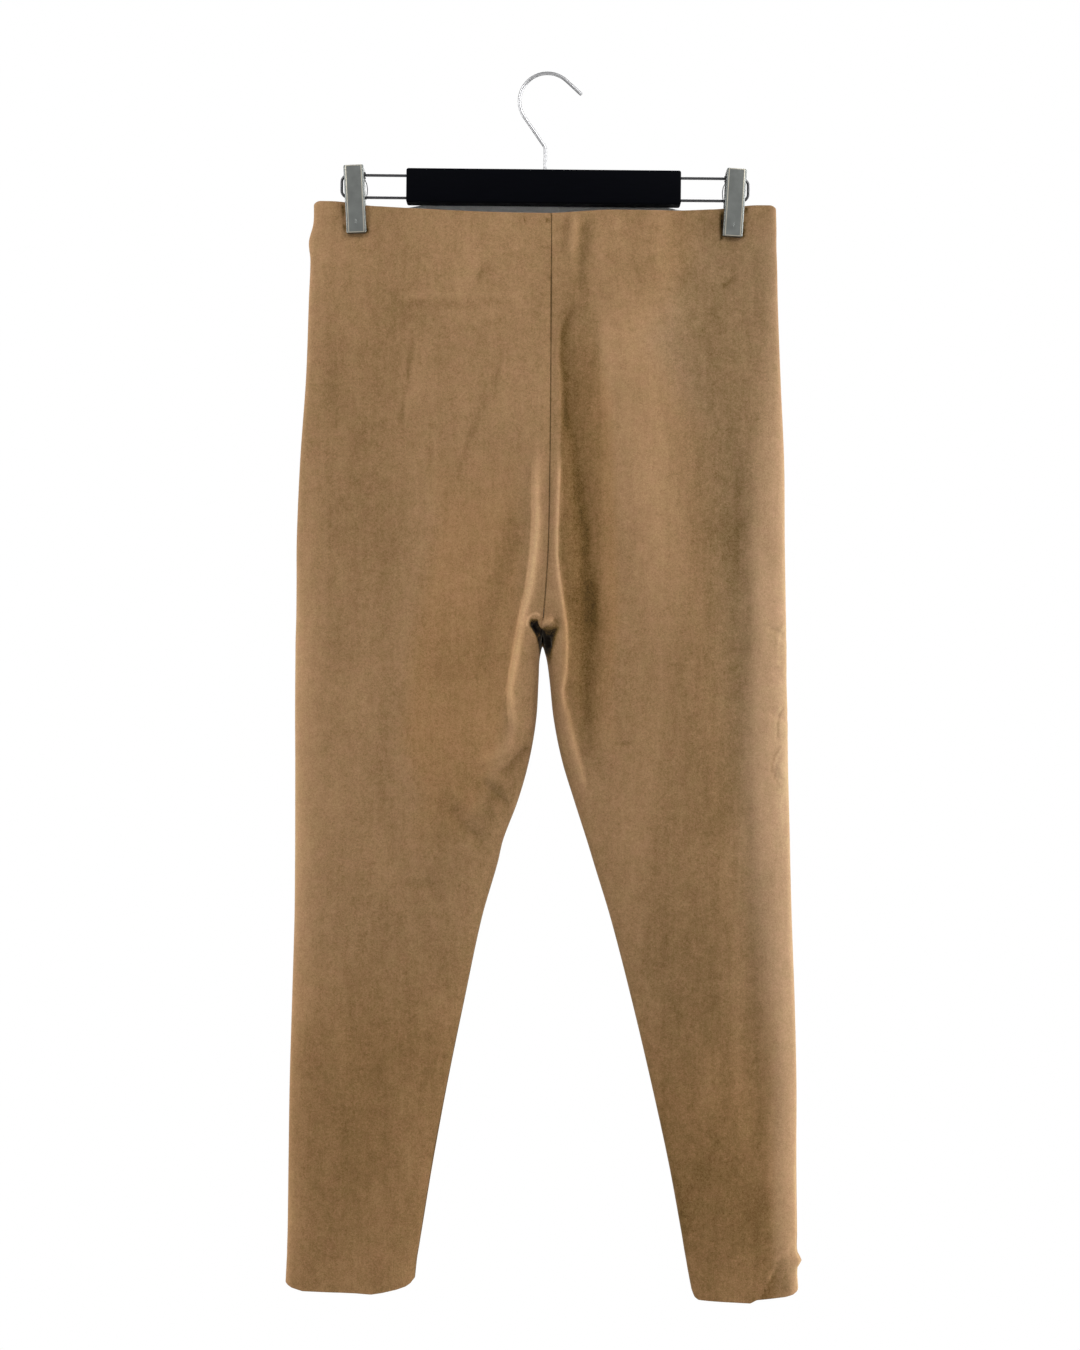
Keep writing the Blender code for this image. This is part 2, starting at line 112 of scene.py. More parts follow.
def ripple(x: Array, z: Array, cell: Place, seed: int) -> Array:
    """Return a smooth uneven field with values of about -1 to 1.

    Args:
        x: Places across, in millimetres.
        z: Places up, in millimetres.
        cell: Size of one swell across and up.
        seed: Number that picks the field.

    Returns:
        The field's value at each place.
    """
    wide, high = 64, 256
    lattice = np.random.default_rng(seed).uniform(-1.0, 1.0, (wide, high))
    across, up = (x + 400.0) / cell[0], (z + 1300.0) / cell[1]
    column, row = np.floor(across).astype(int), np.floor(up).astype(int)
    fx, fz = smooth(across - column), smooth(up - row)
    low, top = (lattice[column % wide, line % high] * (1 - fx)
                + lattice[(column + 1) % wide, line % high] * fx for line in (row, row + 1))
    return low * (1 - fz) + top * fz


def link_mesh(bm: Shape, name: str, *finishes: Material, sharp: bool = True) -> Piece:
    """Turn a shape in millimetres into an object of the scene.

    Args:
        bm: The shape, which is freed.
        name: The object's name.
        finishes: Its materials.
        sharp: True leaves its corners sharp.

    Returns:
        The object.
    """
    bmesh.ops.scale(bm, vec=(MM, MM, MM), verts=bm.verts)
    mesh = bpy.data.meshes.new(name)
    bm.to_mesh(mesh)
    bm.free()
    for finish in finishes:
        mesh.materials.append(finish)
    mesh.shade_smooth()
    if sharp:
        mesh.set_sharp_from_angle(angle=SHARP_ANGLE)
    made = bpy.data.objects.new(name, mesh)
    bpy.context.scene.collection.objects.link(made)
    return made


def finish_piece(piece: Piece, node: str | None = None) -> Piece:
    """Let a piece ride on the body and log it.

    Args:
        piece: The piece.
        node: The CAD node that it stands for, if it stands for one.

    Returns:
        The piece.
    """
    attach(piece, "root")
    if node:
        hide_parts(node)
    LOG.info("%s: %d faces", piece.name, len(piece.data.polygons))
    return piece


def round_edges(bm: Shape, edges: list[bmesh.types.BMEdge], offset: float,
                segments: int = 4) -> None:
    """Round some edges of a shape with the given offset and number of segments."""
    bmesh.ops.bevel(bm, geom=edges, offset=offset, segments=segments, profile=0.5,
                    affect="EDGES", material=-1, clamp_overlap=True)


def add_rod(bm: Shape, radius: float, length: float, sides: int = 10) -> list[Vertex]:
    """Add an upright round rod round the origin to a shape and return its vertices."""
    return bmesh.ops.create_cone(bm, cap_ends=True, segments=sides, radius1=radius,
                                 radius2=radius, depth=length)["verts"]


def arc(centre: Place, radius: float, start: float, end: float, steps: int) -> list[Place]:
    """Return points on an arc in the XZ plane.

    Args:
        centre: The arc's centre.
        radius: Its radius.
        start: First angle, from +X towards +Z, in radians.
        end: Last angle.
        steps: Number of steps.

    Returns:
        The points, in order.
    """
    return [(centre[0] + radius * math.cos(angle), centre[1] + radius * math.sin(angle))
            for angle in np.linspace(start, end, steps + 1)]


# ---------------------------------------------------------------------------------------------
# Finishes


class NodePlan:
    """A node tree that is filled with short calls."""

    def __init__(self, tree: bpy.types.NodeTree) -> None:
        """Start from a tree."""
        self.tree = tree
        self.coordinates = self.add("TexCoord").outputs

    def feed(self, target: Socket, value: Value) -> None:
        """Link a socket to a node's input, or set the input's own value.

        Args:
            target: The input.
            value: A socket, a number or a colour.
        """
        if isinstance(value, Socket):
            self.tree.links.new(value, target)
        else:
            target.default_value = (*value, 1.0) if target.type == "RGBA" else value

    def add(self, kind: str, **inputs: Value) -> bpy.types.Node:
        """Add a node.

        Args:
            kind: Its type.
            inputs: What its inputs get, by their names.

        Returns:
            The node.
        """
        node = self.tree.nodes.new("ShaderNode" + kind)
        for name, value in inputs.items():
            self.feed(node.inputs[name.replace("_", " ")], value)
        return node

    def math(self, operation: str, *values: Value) -> Socket:
        """Add a Math node.

        Args:
            operation: The node's operation.
            values: Its sockets or numbers, in order.

        Returns:
            The result's socket.
        """
        node = self.add("Math")
        node.operation = operation
        for target, value in zip(node.inputs, values):
            self.feed(target, value)
        return node.outputs[0]

    def mix(self, mode: str, factor: Value, first: Value, second: Value) -> Socket:
        """Mix two colours.

        Args:
            mode: The blend mode.
            factor: Share of the second colour.
            first: The first colour.
            second: The second colour.

        Returns:
            The colour's socket.
        """
        node = self.add("Mix")
        node.data_type, node.blend_type = "RGBA", mode
        for name, value in (("Factor", factor), ("A", first), ("B", second)):
            self.feed(node.inputs[name], value)
        return node.outputs["Result"]

    def blend(self, factor: Socket, low: Colour, high: Colour,
              between: tuple[tuple[float, Colour], ...] = ()) -> Socket:
        """Add a colour ramp.

        Args:
            factor: Where the blend stands, 0 to 1.
            low: Colour at 0.
            high: Colour at 1.
            between: Places and colours of stops between them.

        Returns:
            The colour's socket.
        """
        ramp = self.add("ValToRGB", Fac=factor)
        stops = ramp.color_ramp.elements
        stops[0].color, stops[1].color = (*low, 1.0), (*high, 1.0)
        for place, colour in between:
            stops.new(place).color = (*colour, 1.0)
        return ramp.outputs["Color"]


class MaterialPlan(NodePlan):
    """The node tree of a material with a Principled shader."""

    def __init__(self, name: str) -> None:
        """Start a material.

        Args:
            name: Its name.
        """
        self.material = bpy.data.materials.new(name)
        self.material.use_nodes = True
        super().__init__(self.material.node_tree)

    def noise(self, scale: float, detail: float, roughness: float,
              stretch: Triple = (1.0, 1.0, 1.0)) -> Socket:
        """Add a noise on Object coordinates.

        Args:
            scale: Swells for each metre.
            detail: Octaves.
            roughness: Strength of the finer octaves.
            stretch: Scale of each axis before the noise.

        Returns:
            The noise's value socket, about 0 to 1.
        """
        mapping = self.add("Mapping", Scale=stretch, Vector=self.coordinates["Object"])
        return self.add("TexNoise", Scale=scale, Detail=detail, Roughness=roughness,
                        Vector=mapping.outputs["Vector"]).outputs["Fac"]

    def attribute(self, name: str) -> Socket:
        """Read the piece's own attribute.

        Args:
            name: The attribute's name.

        Returns:
            Its value socket.
        """
        node = self.add("Attribute")
        node.attribute_name = name
        return node.outputs["Fac"]

    def bump(self, *layers: tuple[Socket, float, float]) -> Socket:
        """Add one or more Bump nodes.

        Args:
            layers: The height, the strength and the range in metres of each.

        Returns:
            The normal's socket.
        """
        normal = None
        for height, strength, distance in layers:
            node = self.add("Bump", Height=height, Strength=strength, Distance=distance)
            if normal is not None:
                self.feed(node.inputs["Normal"], normal)
            normal = node.outputs["Normal"]
        return normal

    def dress(self, **values: Value) -> Material:
        """Fill the shader's own sockets.

        Args:
            values: What each gets, by its name.

        Returns:
            The material.
        """
        shader = self.tree.nodes["Principled BSDF"]
        for name, value in values.items():
            self.feed(shader.inputs[name.replace("_", " ")], value)
        return self.material


def shade(colour: Colour, factor: float) -> Colour:
    """Return a colour made darker or lighter by a factor."""
    return (colour[0] * factor, colour[1] * factor, colour[2] * factor)


@dataclass(frozen=True)
class SuedeFinish:
    """Brushed matt nap of the suede face, with painted light and shade from its 'nap' attribute.
    """

    name: str = "camel suede"
    deep: Colour = (0.004, 0.002, 0.001)     # painted shade of the deepest folds
    dark: Colour = (0.135, 0.077, 0.0235)
    light: Colour = (0.470, 0.281, 0.147)
    # the painted highlight of the crests
    crest_highlight: Colour = (0.600, 0.388, 0.205)
    olive: Colour = (0.95, 1.03, 0.94)
    rosy: Colour = (1.05, 0.97, 1.05)
    grey: Colour = (0.97, 1.02, 1.11)
    golden: Colour = (1.03, 0.98, 0.89)
    sheen_colour: Colour = (1.0, 0.85, 0.66)

    def make(self) -> Material:
        """Make the material.

        Returns:
            The material.
        """
        plan = MaterialPlan(self.name)
        nap, grain = plan.noise(430.0, 3.0, 0.7), plan.noise(1000.0, 2.0, 0.7)
        layers = ((plan.noise(30.0, 3.0, 0.55), 0.12), (plan.noise(120.0, 3.0, 0.62), 0.34),
                  (plan.noise(1.0, 3.0, 0.6, stretch=(230.0, 230.0, 22.0)), 0.24),
                  (nap, 0.60), (grain, 0.85))
        # the 'nap' attribute holds painted light and shade besides the nap's own tone
        tone = plan.attribute("nap")
        for value, share in layers:
            tone = plan.math("MULTIPLY_ADD", value, share, tone)
        middle = 0.5 - sum(share for _, share in layers) / 2
        factor = plan.math("MULTIPLY_ADD", tone, 0.5, 0.3 + 0.5 * middle)
        # below 0.3 the tones run into painted deep shade, and the top stop is the painted crest
        # highlight
        colour = plan.blend(factor, self.deep, self.crest_highlight, (
            (0.05, self.deep), (0.2, shade(self.dark, 0.6)), (0.3, self.dark), (0.8, self.light)))
        tint = plan.noise(70.0, 3.0, 0.6)
        colour = plan.mix("MULTIPLY", 1.0, colour, plan.blend(tint, self.olive, self.rosy))
        colour = plan.mix("MULTIPLY", 1.0, colour,
                          plan.blend(plan.attribute("gold"), self.grey, self.golden))
        return plan.dress(Base_Color=colour, Roughness=0.95, Specular_IOR_Level=0.12,
                          Normal=plan.bump((nap, 0.35, 0.0006), (grain, 0.30, 0.0003)),
                          Sheen_Weight=0.22, Sheen_Roughness=0.45, Sheen_Tint=self.sheen_colour)


@dataclass(frozen=True)
class KnitFinish:
    """Plain knit of the cloth's inside, with fine ribs, and of its raw cut edges."""

    name: str
    colour: Colour
    ribs: float = 900.0           # for each metre

    def make(self) -> Material:
        """Make the material.

        Returns:
            The material.
        """
        plan = MaterialPlan(self.name)
        wave = plan.add("TexWave", Scale=self.ribs / 3.14, Distortion=1.2, Detail=2.0,
                        Vector=plan.coordinates["Object"])
        wave.bands_direction = "X"
        rib, fuzz = wave.outputs["Fac"], plan.noise(1300.0, 3.0, 0.6)
        tone = plan.math("MULTIPLY_ADD", rib, 0.25, plan.math("MULTIPLY", fuzz, 0.75))
        return plan.dress(Base_Color=plan.blend(tone, shade(self.colour, 0.7),
                                                shade(self.colour, 1.3)),
                          Normal=plan.bump((rib, 0.4, 0.0003), (fuzz, 0.5, 0.0003)),
                          Roughness=0.95, Sheen_Weight=0.2, Specular_IOR_Level=0.1)


@dataclass(frozen=True)
class MetalFinish:
    """Polished wire or satin pressed steel."""

    name: str
    colour: Colour
    roughness: float
    brushing: float = 0.0         # strength of the fine lines along the metal
    stains: float = 0.12
    edge: Colour | None = None    # colour of the painted highlight where the piece's own attribute marks the edge

    def make(self) -> Material:
        """Make the material.

        Returns:
            The material.
        """
        plan = MaterialPlan(self.name)
        cloud = plan.noise(120.0, 3.0, 0.55)
        lines = plan.noise(1.0, 2.0, 0.6, stretch=(2600.0, 2600.0, 90.0))
        colour = plan.blend(cloud, shade(self.colour, 1 - self.stains),
                            shade(self.colour, 1 + self.stains))
        if self.edge is not None:
            # a painted highlight along the edge, where the piece's attribute marks it
            colour = plan.mix("MIX", plan.attribute("rubbed"), colour, self.edge)
        rough = plan.math("MULTIPLY_ADD", lines, self.brushing, self.roughness * 0.7)
        return plan.dress(Base_Color=colour, Metallic=1.0,
                          Roughness=plan.math("MULTIPLY_ADD", cloud, self.roughness * 0.6, rough),
                          Normal=plan.bump((lines, 0.02 + 2.3 * self.brushing, 0.00006)))


@dataclass(frozen=True)
class MouldedFinish:
    """Satin black moulded plastic with a fine grain and faint scuffs."""

    name: str = "satin black plastic"
    colour: Colour = (0.0012, 0.0014, 0.0024)
    roughness: float = 0.52

    def make(self) -> Material:
        """Make the material.

        Returns:
            The material.
        """
        plan = MaterialPlan(self.name)
        scuffs = plan.noise(1.0, 4.0, 0.65, stretch=(60.0, 400.0, 400.0))
        grain = plan.noise(2200.0, 2.0, 0.5)
        rough = plan.math("MULTIPLY_ADD", grain, 0.06, self.roughness - 0.13)
        return plan.dress(Base_Color=plan.blend(scuffs, shade(self.colour, 0.75),
                                                shade(self.colour, 1.5)),
                          Roughness=plan.math("MULTIPLY_ADD", scuffs, 0.2, rough),
                          Normal=plan.bump((grain, 0.12, 0.0001)), Specular_IOR_Level=0.02)


@dataclass(frozen=True)
class FloorFinish:
    """Plain pale studio floor."""

    name: str = "pale floor"
    colour: Colour = (0.86, 0.86, 0.85)

    def make(self) -> Material:
        """Make the material.

        Returns:
            The material.
        """
        plan = MaterialPlan(self.name)
        colour = plan.blend(plan.noise(3.0, 3.0, 0.5), shade(self.colour, 0.98),
                            shade(self.colour, 1.02))
        return plan.dress(Base_Color=colour, Roughness=0.7)


class Wardrobe:
    """All finishes of the garment and its hanger."""

    def __init__(self) -> None:
        """Make the finishes."""
        self.suede = SuedeFinish().make()
        self.backing = KnitFinish("grey knit backing", (0.93, 0.93, 0.92)).make()
        self.raw_edge = KnitFinish("raw cut edge", (0.33, 0.215, 0.125), ribs=1500.0).make()
        self.chrome = MetalFinish("chrome wire", (0.52, 0.52, 0.53), 0.34, stains=0.04).make()
        self.dark_wire = MetalFinish("dark wire", (0.10, 0.10, 0.105), 0.25).make()
        # the clip steel carries a painted highlight along its jaws' edges
        self.steel = MetalFinish("satin clip steel", (0.205, 0.215, 0.205), 0.36, brushing=0.10,
                                 edge=(0.60, 0.56, 0.46)).make()
        self.bar = MouldedFinish().make()


# ---------------------------------------------------------------------------------------------
# The garment


@dataclass(frozen=True)
class Stroke:
    """A crease, or a mark of the brushed nap or of painted light and shade, along a line of the
    front view.

    A crease's height is in millimetres, a ridge above 0 and a trough below. A mark's height is
    how much lighter, above 0, or darker it is.
    """

    points: tuple[Place, ...]
    left: float                   # reach on the side that is left when one looks along the line
    right: float
    height: float
    fade: float = 30.0            # length over which it runs out at each end
    over_fold: bool = False       # it crosses the folded edge

    def at(self, x: Array, z: Array) -> Array:
        """Return the height at each place.

        Args:
            x: Places across.
            z: Places up.

        Returns:
            The heights.
        """
        best, side, along = np.full(x.shape, np.inf), np.zeros(x.shape), np.zeros(x.shape)
        done = 0.0
        for (x0, z0), (x1, z1) in zip(self.points, self.points[1:]):
            run_x, run_z = x1 - x0, z1 - z0
            length = math.hypot(run_x, run_z)
            share = np.clip(((x - x0) * run_x + (z - z0) * run_z) / length ** 2, 0.0, 1.0)
            away = np.hypot(x - x0 - share * run_x, z - z0 - share * run_z)
            nearer = away < best
            best = np.where(nearer, away, best)
            along = np.where(nearer, done + share * length, along)
            side = np.where(nearer, run_x * (z - z0) - run_z * (x - x0), side)
            done += length
        fade = min(self.fade, done / 2)
        ends = smooth(along / fade) * smooth((done - along) / fade)
        return self.height * ends * np.exp(-(best / np.where(side > 0, self.right,
                                                             self.left)) ** 2)


@dataclass(frozen=True)
class Patch:
    """A part of the nap that is painted lighter or darker, or more golden or greyer, between two
    lines that run down the front view.
    """

    rows: tuple[tuple[float, float, float, float], ...]   # z, left edge, right edge, tone
    left_ease: float              # width over which it sets in at its left edge
    right_ease: float

    def at(self, x: Array, z: Array) -> Array:
        """Return the tone at each place.

        Args:
            x: Places across.
            z: Places up.

        Returns:
            The tones, 0 outside the patch.
        """
        table = np.array(self.rows)[::-1].T
        left, right = (np.interp(z, table[0], table[index]) for index in (1, 2))
        return (np.interp(z, table[0], table[3], left=0.0, right=0.0)
                * smooth((x - left) / self.left_ease + 0.5)
                * smooth((right - x) / self.right_ease + 0.5))


def total(shapes: Iterable[Stroke | Patch], x: Array, z: Array) -> Array:
    """Return the sum of some strokes or patches at each place."""
    return sum((shape.at(x, z) for shape in shapes), np.zeros_like(x))


# Creases of the front, as the cloth shows them
FRONT_CREASES = (
    # the centre seam lies in a shallow hollow, with a crest on either side
    Stroke(((5.9, -162.7), (7.1, -329.9), (6.4, -400.3), (3.4, -453.2), (0.1, -472.6)), 5.3, 4.4,
        -1.1, 52.8),
    Stroke(((-4.8, -330), (-7.2, -358.2), (-5.2, -384.6), (-5, -404.8), (-7.4, -422.5),
        (-9.1, -437.4), (-13.2, -459.5), (-17.4, -479.8), (-20.8, -499.2), (-23.7, -519.4),
        (-26.2, -534.4), (-27.4, -547.6), (-25, -560.8), (-22.7, -574), (-25.3, -583.7),
        (-34.8, -594.3)), 2.5, 7, 2.6, 35.2),
    Stroke(((15.9, -331.6), (14.9, -360.6), (13.5, -404.7), (13.7, -424), (15.9, -444.2),
        (19.4, -466.2), (22.4, -483.8), (23.3, -503.1), (22.9, -525.1), (20.5, -541),
        (22.4, -554.2), (25.7, -569.1), (30.2, -589.3), (36.6, -613), (43, -637.6)), 5.3, 2.1, 2.6,
        35.2),
    # the dark hollow right of it, and the broad swell beyond
    Stroke(((28.2, -197.7), (24.3, -241.7), (26.5, -294.5), (33.2, -347.3), (39, -400),
        (43, -452.8), (44.3, -496.8), (41.2, -540.8), (42.5, -584.8), (48.2, -628.7)), 10.6, 10.6,
        -4.6, 61.6),
    Stroke(((31.8, -200.3), (22.2, -213.6), (16.7, -228.6), (15.5, -248), (19.3, -269.9),
        (19.9, -294.6), (21.5, -321)), 2.6, 4.4, -1.2, 17.6),
    Stroke(((49, -162.3), (60.2, -223.8), (74.9, -285.3), (86.1, -355.6), (88.5, -425.9),
        (83.9, -496.4)), 17.6, 29.9, 2.2, 79.2),
    # left of the left crest, the thigh falls away
    Stroke(((-20.4, -356.6), (-20.9, -391.8), (-25.9, -427), (-35.3, -453.5), (-42.1, -480),
        (-45.4, -506.4), (-43.3, -541.6), (-40.4, -559.2)), 17.6, 7.9, -2.2, 52.8),
    # the crotch: the right front's rounded lip, the shade under it and the small curled hole
    Stroke(((1, -481.3), (4.1, -482.2), (8.1, -482.2), (12.5, -479.9)), 4, 4.4, 3.2, 3.5, True),
    Stroke(((7.3, -491.8), (6.1, -498.9), (6.1, -507.7)), 3.5, 3.2, -4, 5.3, True),
    Stroke(((-8.2, -482.8), (-5.9, -485.8), (-1.5, -492.8)), 2.6, 2.6, -4, 3.5, True),
    # crumple of the left thigh, under the hook in which the crest ends
    Stroke(((-22.7, -579.3), (-28.3, -590.8), (-41.8, -599.7), (-56.7, -606)), 5.3, 6.2, 2.4,
        10.6),
    Stroke(((-7.6, -587.9), (-17.2, -597.7), (-26.8, -608.3), (-37.3, -615.5)), 2.6, 8.8, -2.6, 7),
    Stroke(((-54.8, -618.3), (-48.6, -622.6), (-38.9, -631.3), (-29.1, -640.9), (-24.6, -650.6)),
        5.3, 4.4, -1.6, 10.6),
    Stroke(((-76.6, -638.7), (-73, -651), (-64.1, -662.4), (-50.8, -672.8), (-42.8, -678)), 5.3,
        6.2, -1.6, 10.6),
    Stroke(((-82.1, -616.8), (-74.1, -629.9), (-60.8, -643.9), (-46.6, -656.1)), 7.9, 7, 1.2,
        12.3),
    Stroke(((-100.7, -705), (-87.4, -715.4)), 3.5, 3.5, -0.7, 5.3),
    Stroke(((-126, -709), (-104, -712), (-80, -719)), 4, 4, -1, 12),
    Stroke(((-118, -560), (-108, -620), (-112, -700)), 18, 22, 1.3, 50),
    # waist pleats beside the seam
    Stroke(((19.5, -114.2), (19.8, -137.9), (17.4, -164.4)), 3.5, 2.6, -1.4, 10.6),
    Stroke(((25.2, -114.1), (25.1, -144.9), (21.4, -169.6)), 3.5, 4.4, 1.8, 14.1),
    Stroke(((36.2, -114), (36.1, -140.4), (33.2, -164.2), (30.9, -197.7)), 5.3, 5.3, -2.4, 17.6),
    Stroke(((46.8, -113.9), (48.9, -153.5), (52.9, -197.5)), 7.9, 10.6, 1.5, 35.2),
    Stroke(((62.6, -113.8), (64.7, -140.1), (68.5, -170.9)), 6.2, 7.9, 0.9, 26.4),
    # faint pressed lines of the left front
    Stroke(((-132, -199), (-100, -198), (-70, -198.5)), 1.8, 1.8, 0.35, 12),
    Stroke(((-62, -209), (-46, -209.5), (-31, -211)), 1.8, 1.8, 0.35, 8),
    Stroke(((-114, -232), (-119, -270), (-125.5, -316)), 2, 2.4, -0.5, 16),
    Stroke(((-36, -250), (-50, -290), (-66, -330), (-80, -372)), 2.2, 2.6, -0.5, 18),
    Stroke(((-105, -300), (-107, -400), (-112, -470)), 16, 16, 0.9, 60),
    # dents where clips have sat, and one pinched mark at the right
    Stroke(((-126, -130.5), (-120, -130.5)), 3.2, 3.2, -1.1, 3),
    Stroke(((110, -128.3), (116, -128.3)), 3.2, 3.2, -1.1, 3),
    Stroke(((156, -184), (173, -175)), 2.4, 2.4, -0.8, 6),
    # the right leg's long hollow beside its full outer edge
    Stroke(((150, -290), (166, -340), (172, -425), (175, -530), (178, -636), (182, -724),
        (189, -812), (196, -900), (202, -970)), 24, 12, -3, 90),
    # crinkles that cross the right leg's outer edge
    Stroke(((198, -462), (207, -464), (216, -462)), 3, 2.4, -0.8, 5, True),
    Stroke(((196, -484), (207, -488), (217, -497)), 3, 3, -1, 6, True),
    Stroke(((200, -515), (209, -520), (218, -518)), 3.2, 3.2, 0.6, 6, True),
    Stroke(((200, -556), (208, -562), (220, -566)), 3.4, 3, -1, 7, True),
    Stroke(((203, -578), (210, -582), (220, -580)), 3, 3, -0.7, 6, True),
    Stroke(((212, -592), (205.5, -603), (206, -612), (213, -624)), 2.2, 2.2, -1, 8, True),
    Stroke(((214, -600), (211, -608), (214, -617)), 3, 3, 0.9, 6, True),
    Stroke(((62, -586), (72, -587), (83, -586)), 1.8, 2.2, -0.7, 7),
    # shins
    Stroke(((-176, -820), (-172, -870), (-170, -915)), 7, 9, 0.8, 30),
    Stroke(((147, -840), (149, -880), (152, -920)), 7, 9, 0.8, 30),
    Stroke(((-130, -760), (-140, -880), (-146, -980)), 18, 16, -1, 60),
    Stroke(((160, -950), (166, -1000), (170, -1060)), 12, 12, 0.9, 36),
    # the turned corner of the right hem
    Stroke(((227.1, -1021.3), (212.4, -1042.6), (200.2, -1061.2)), 3.1, 1.9, 1.3, 7, True),
    Stroke(((229.9, -1037.1), (221.3, -1054.8), (212.7, -1077.8)), 7, 6.2, -1.2, 10.6, True),
)

# Creases of the back, which the front view hides, made like those of the front
BACK_CREASES = (
    Stroke(((6, -170), (6.3, -325), (5.7, -414), (2, -470), (0, -505)), 9, 11, -3.6, 90),
    Stroke(((-6, -318), (-8, -380), (-13, -430), (-19, -468), (-25, -505), (-28, -540),
        (-27, -566), (-38, -598)), 2.6, 8, 2.2, 36),
    Stroke(((9, -348), (10, -400), (15, -446), (20, -480), (23, -512), (25, -545), (34, -592)), 6,
        2.4, 2.1, 34),
    Stroke(((-30, -300), (-36, -390), (-44, -470), (-48, -530)), 12, 8, -1.8, 60),
    Stroke(((34, -480), (66, -504), (102, -520), (130, -524)), 8, 4, -1.7, 34),
    Stroke(((40, -526), (66, -548), (90, -556)), 8, 5, 1.2, 24),
    Stroke(((-52, -520), (-84, -538), (-118, -546)), 4, 8, -1.5, 30),
    Stroke(((-44, -548), (-70, -566), (-96, -572)), 6, 5, 1.1, 20),
    Stroke(((-104, -150), (-98, -220), (-92, -300)), 14, 20, 1.6, 60),
    Stroke(((86, -140), (94, -230), (98, -320)), 18, 15, 1.5, 60),
    Stroke(((-70, -125), (-66, -190), (-64, -250)), 6, 8, -1, 40),
    Stroke(((58, -125), (56, -170), (60, -232)), 6, 6, -1, 34),
    Stroke(((-150, -560), (-146, -640), (-138, -740)), 22, 16, -1.8, 70),
    Stroke(((146, -540), (150, -650), (160, -760)), 18, 24, -1.8, 80),
    Stroke(((-58, -640), (-84, -664), (-118, -672)), 6, 8, -1.8, 20),
    Stroke(((-70, -622), (-98, -640), (-126, -640)), 8, 7, 1.1, 18),
    Stroke(((74, -672), (100, -690), (132, -688)), 7, 6, -1.6, 20),
    Stroke(((-92, -760), (-120, -778), (-150, -780)), 6, 6, -1.1, 18),
    Stroke(((-160, -850), (-158, -930), (-164, -1010)), 12, 16, 1.1, 50),
    Stroke(((170, -870), (176, -950), (184, -1030)), 16, 12, 1, 50),
    Stroke(((-198, -500), (-207, -505), (-217, -502)), 3.2, 2.6, -0.9, 6, True),
    Stroke(((-200, -548), (-208, -556), (-217, -560)), 2.8, 3.4, -0.8, 6, True),
    Stroke(((198, -462), (207, -464), (216, -462)), 3, 2.4, -0.8, 5, True),
    Stroke(((200, -556), (208, -562), (220, -566)), 3.4, 3, -1, 7, True),
)
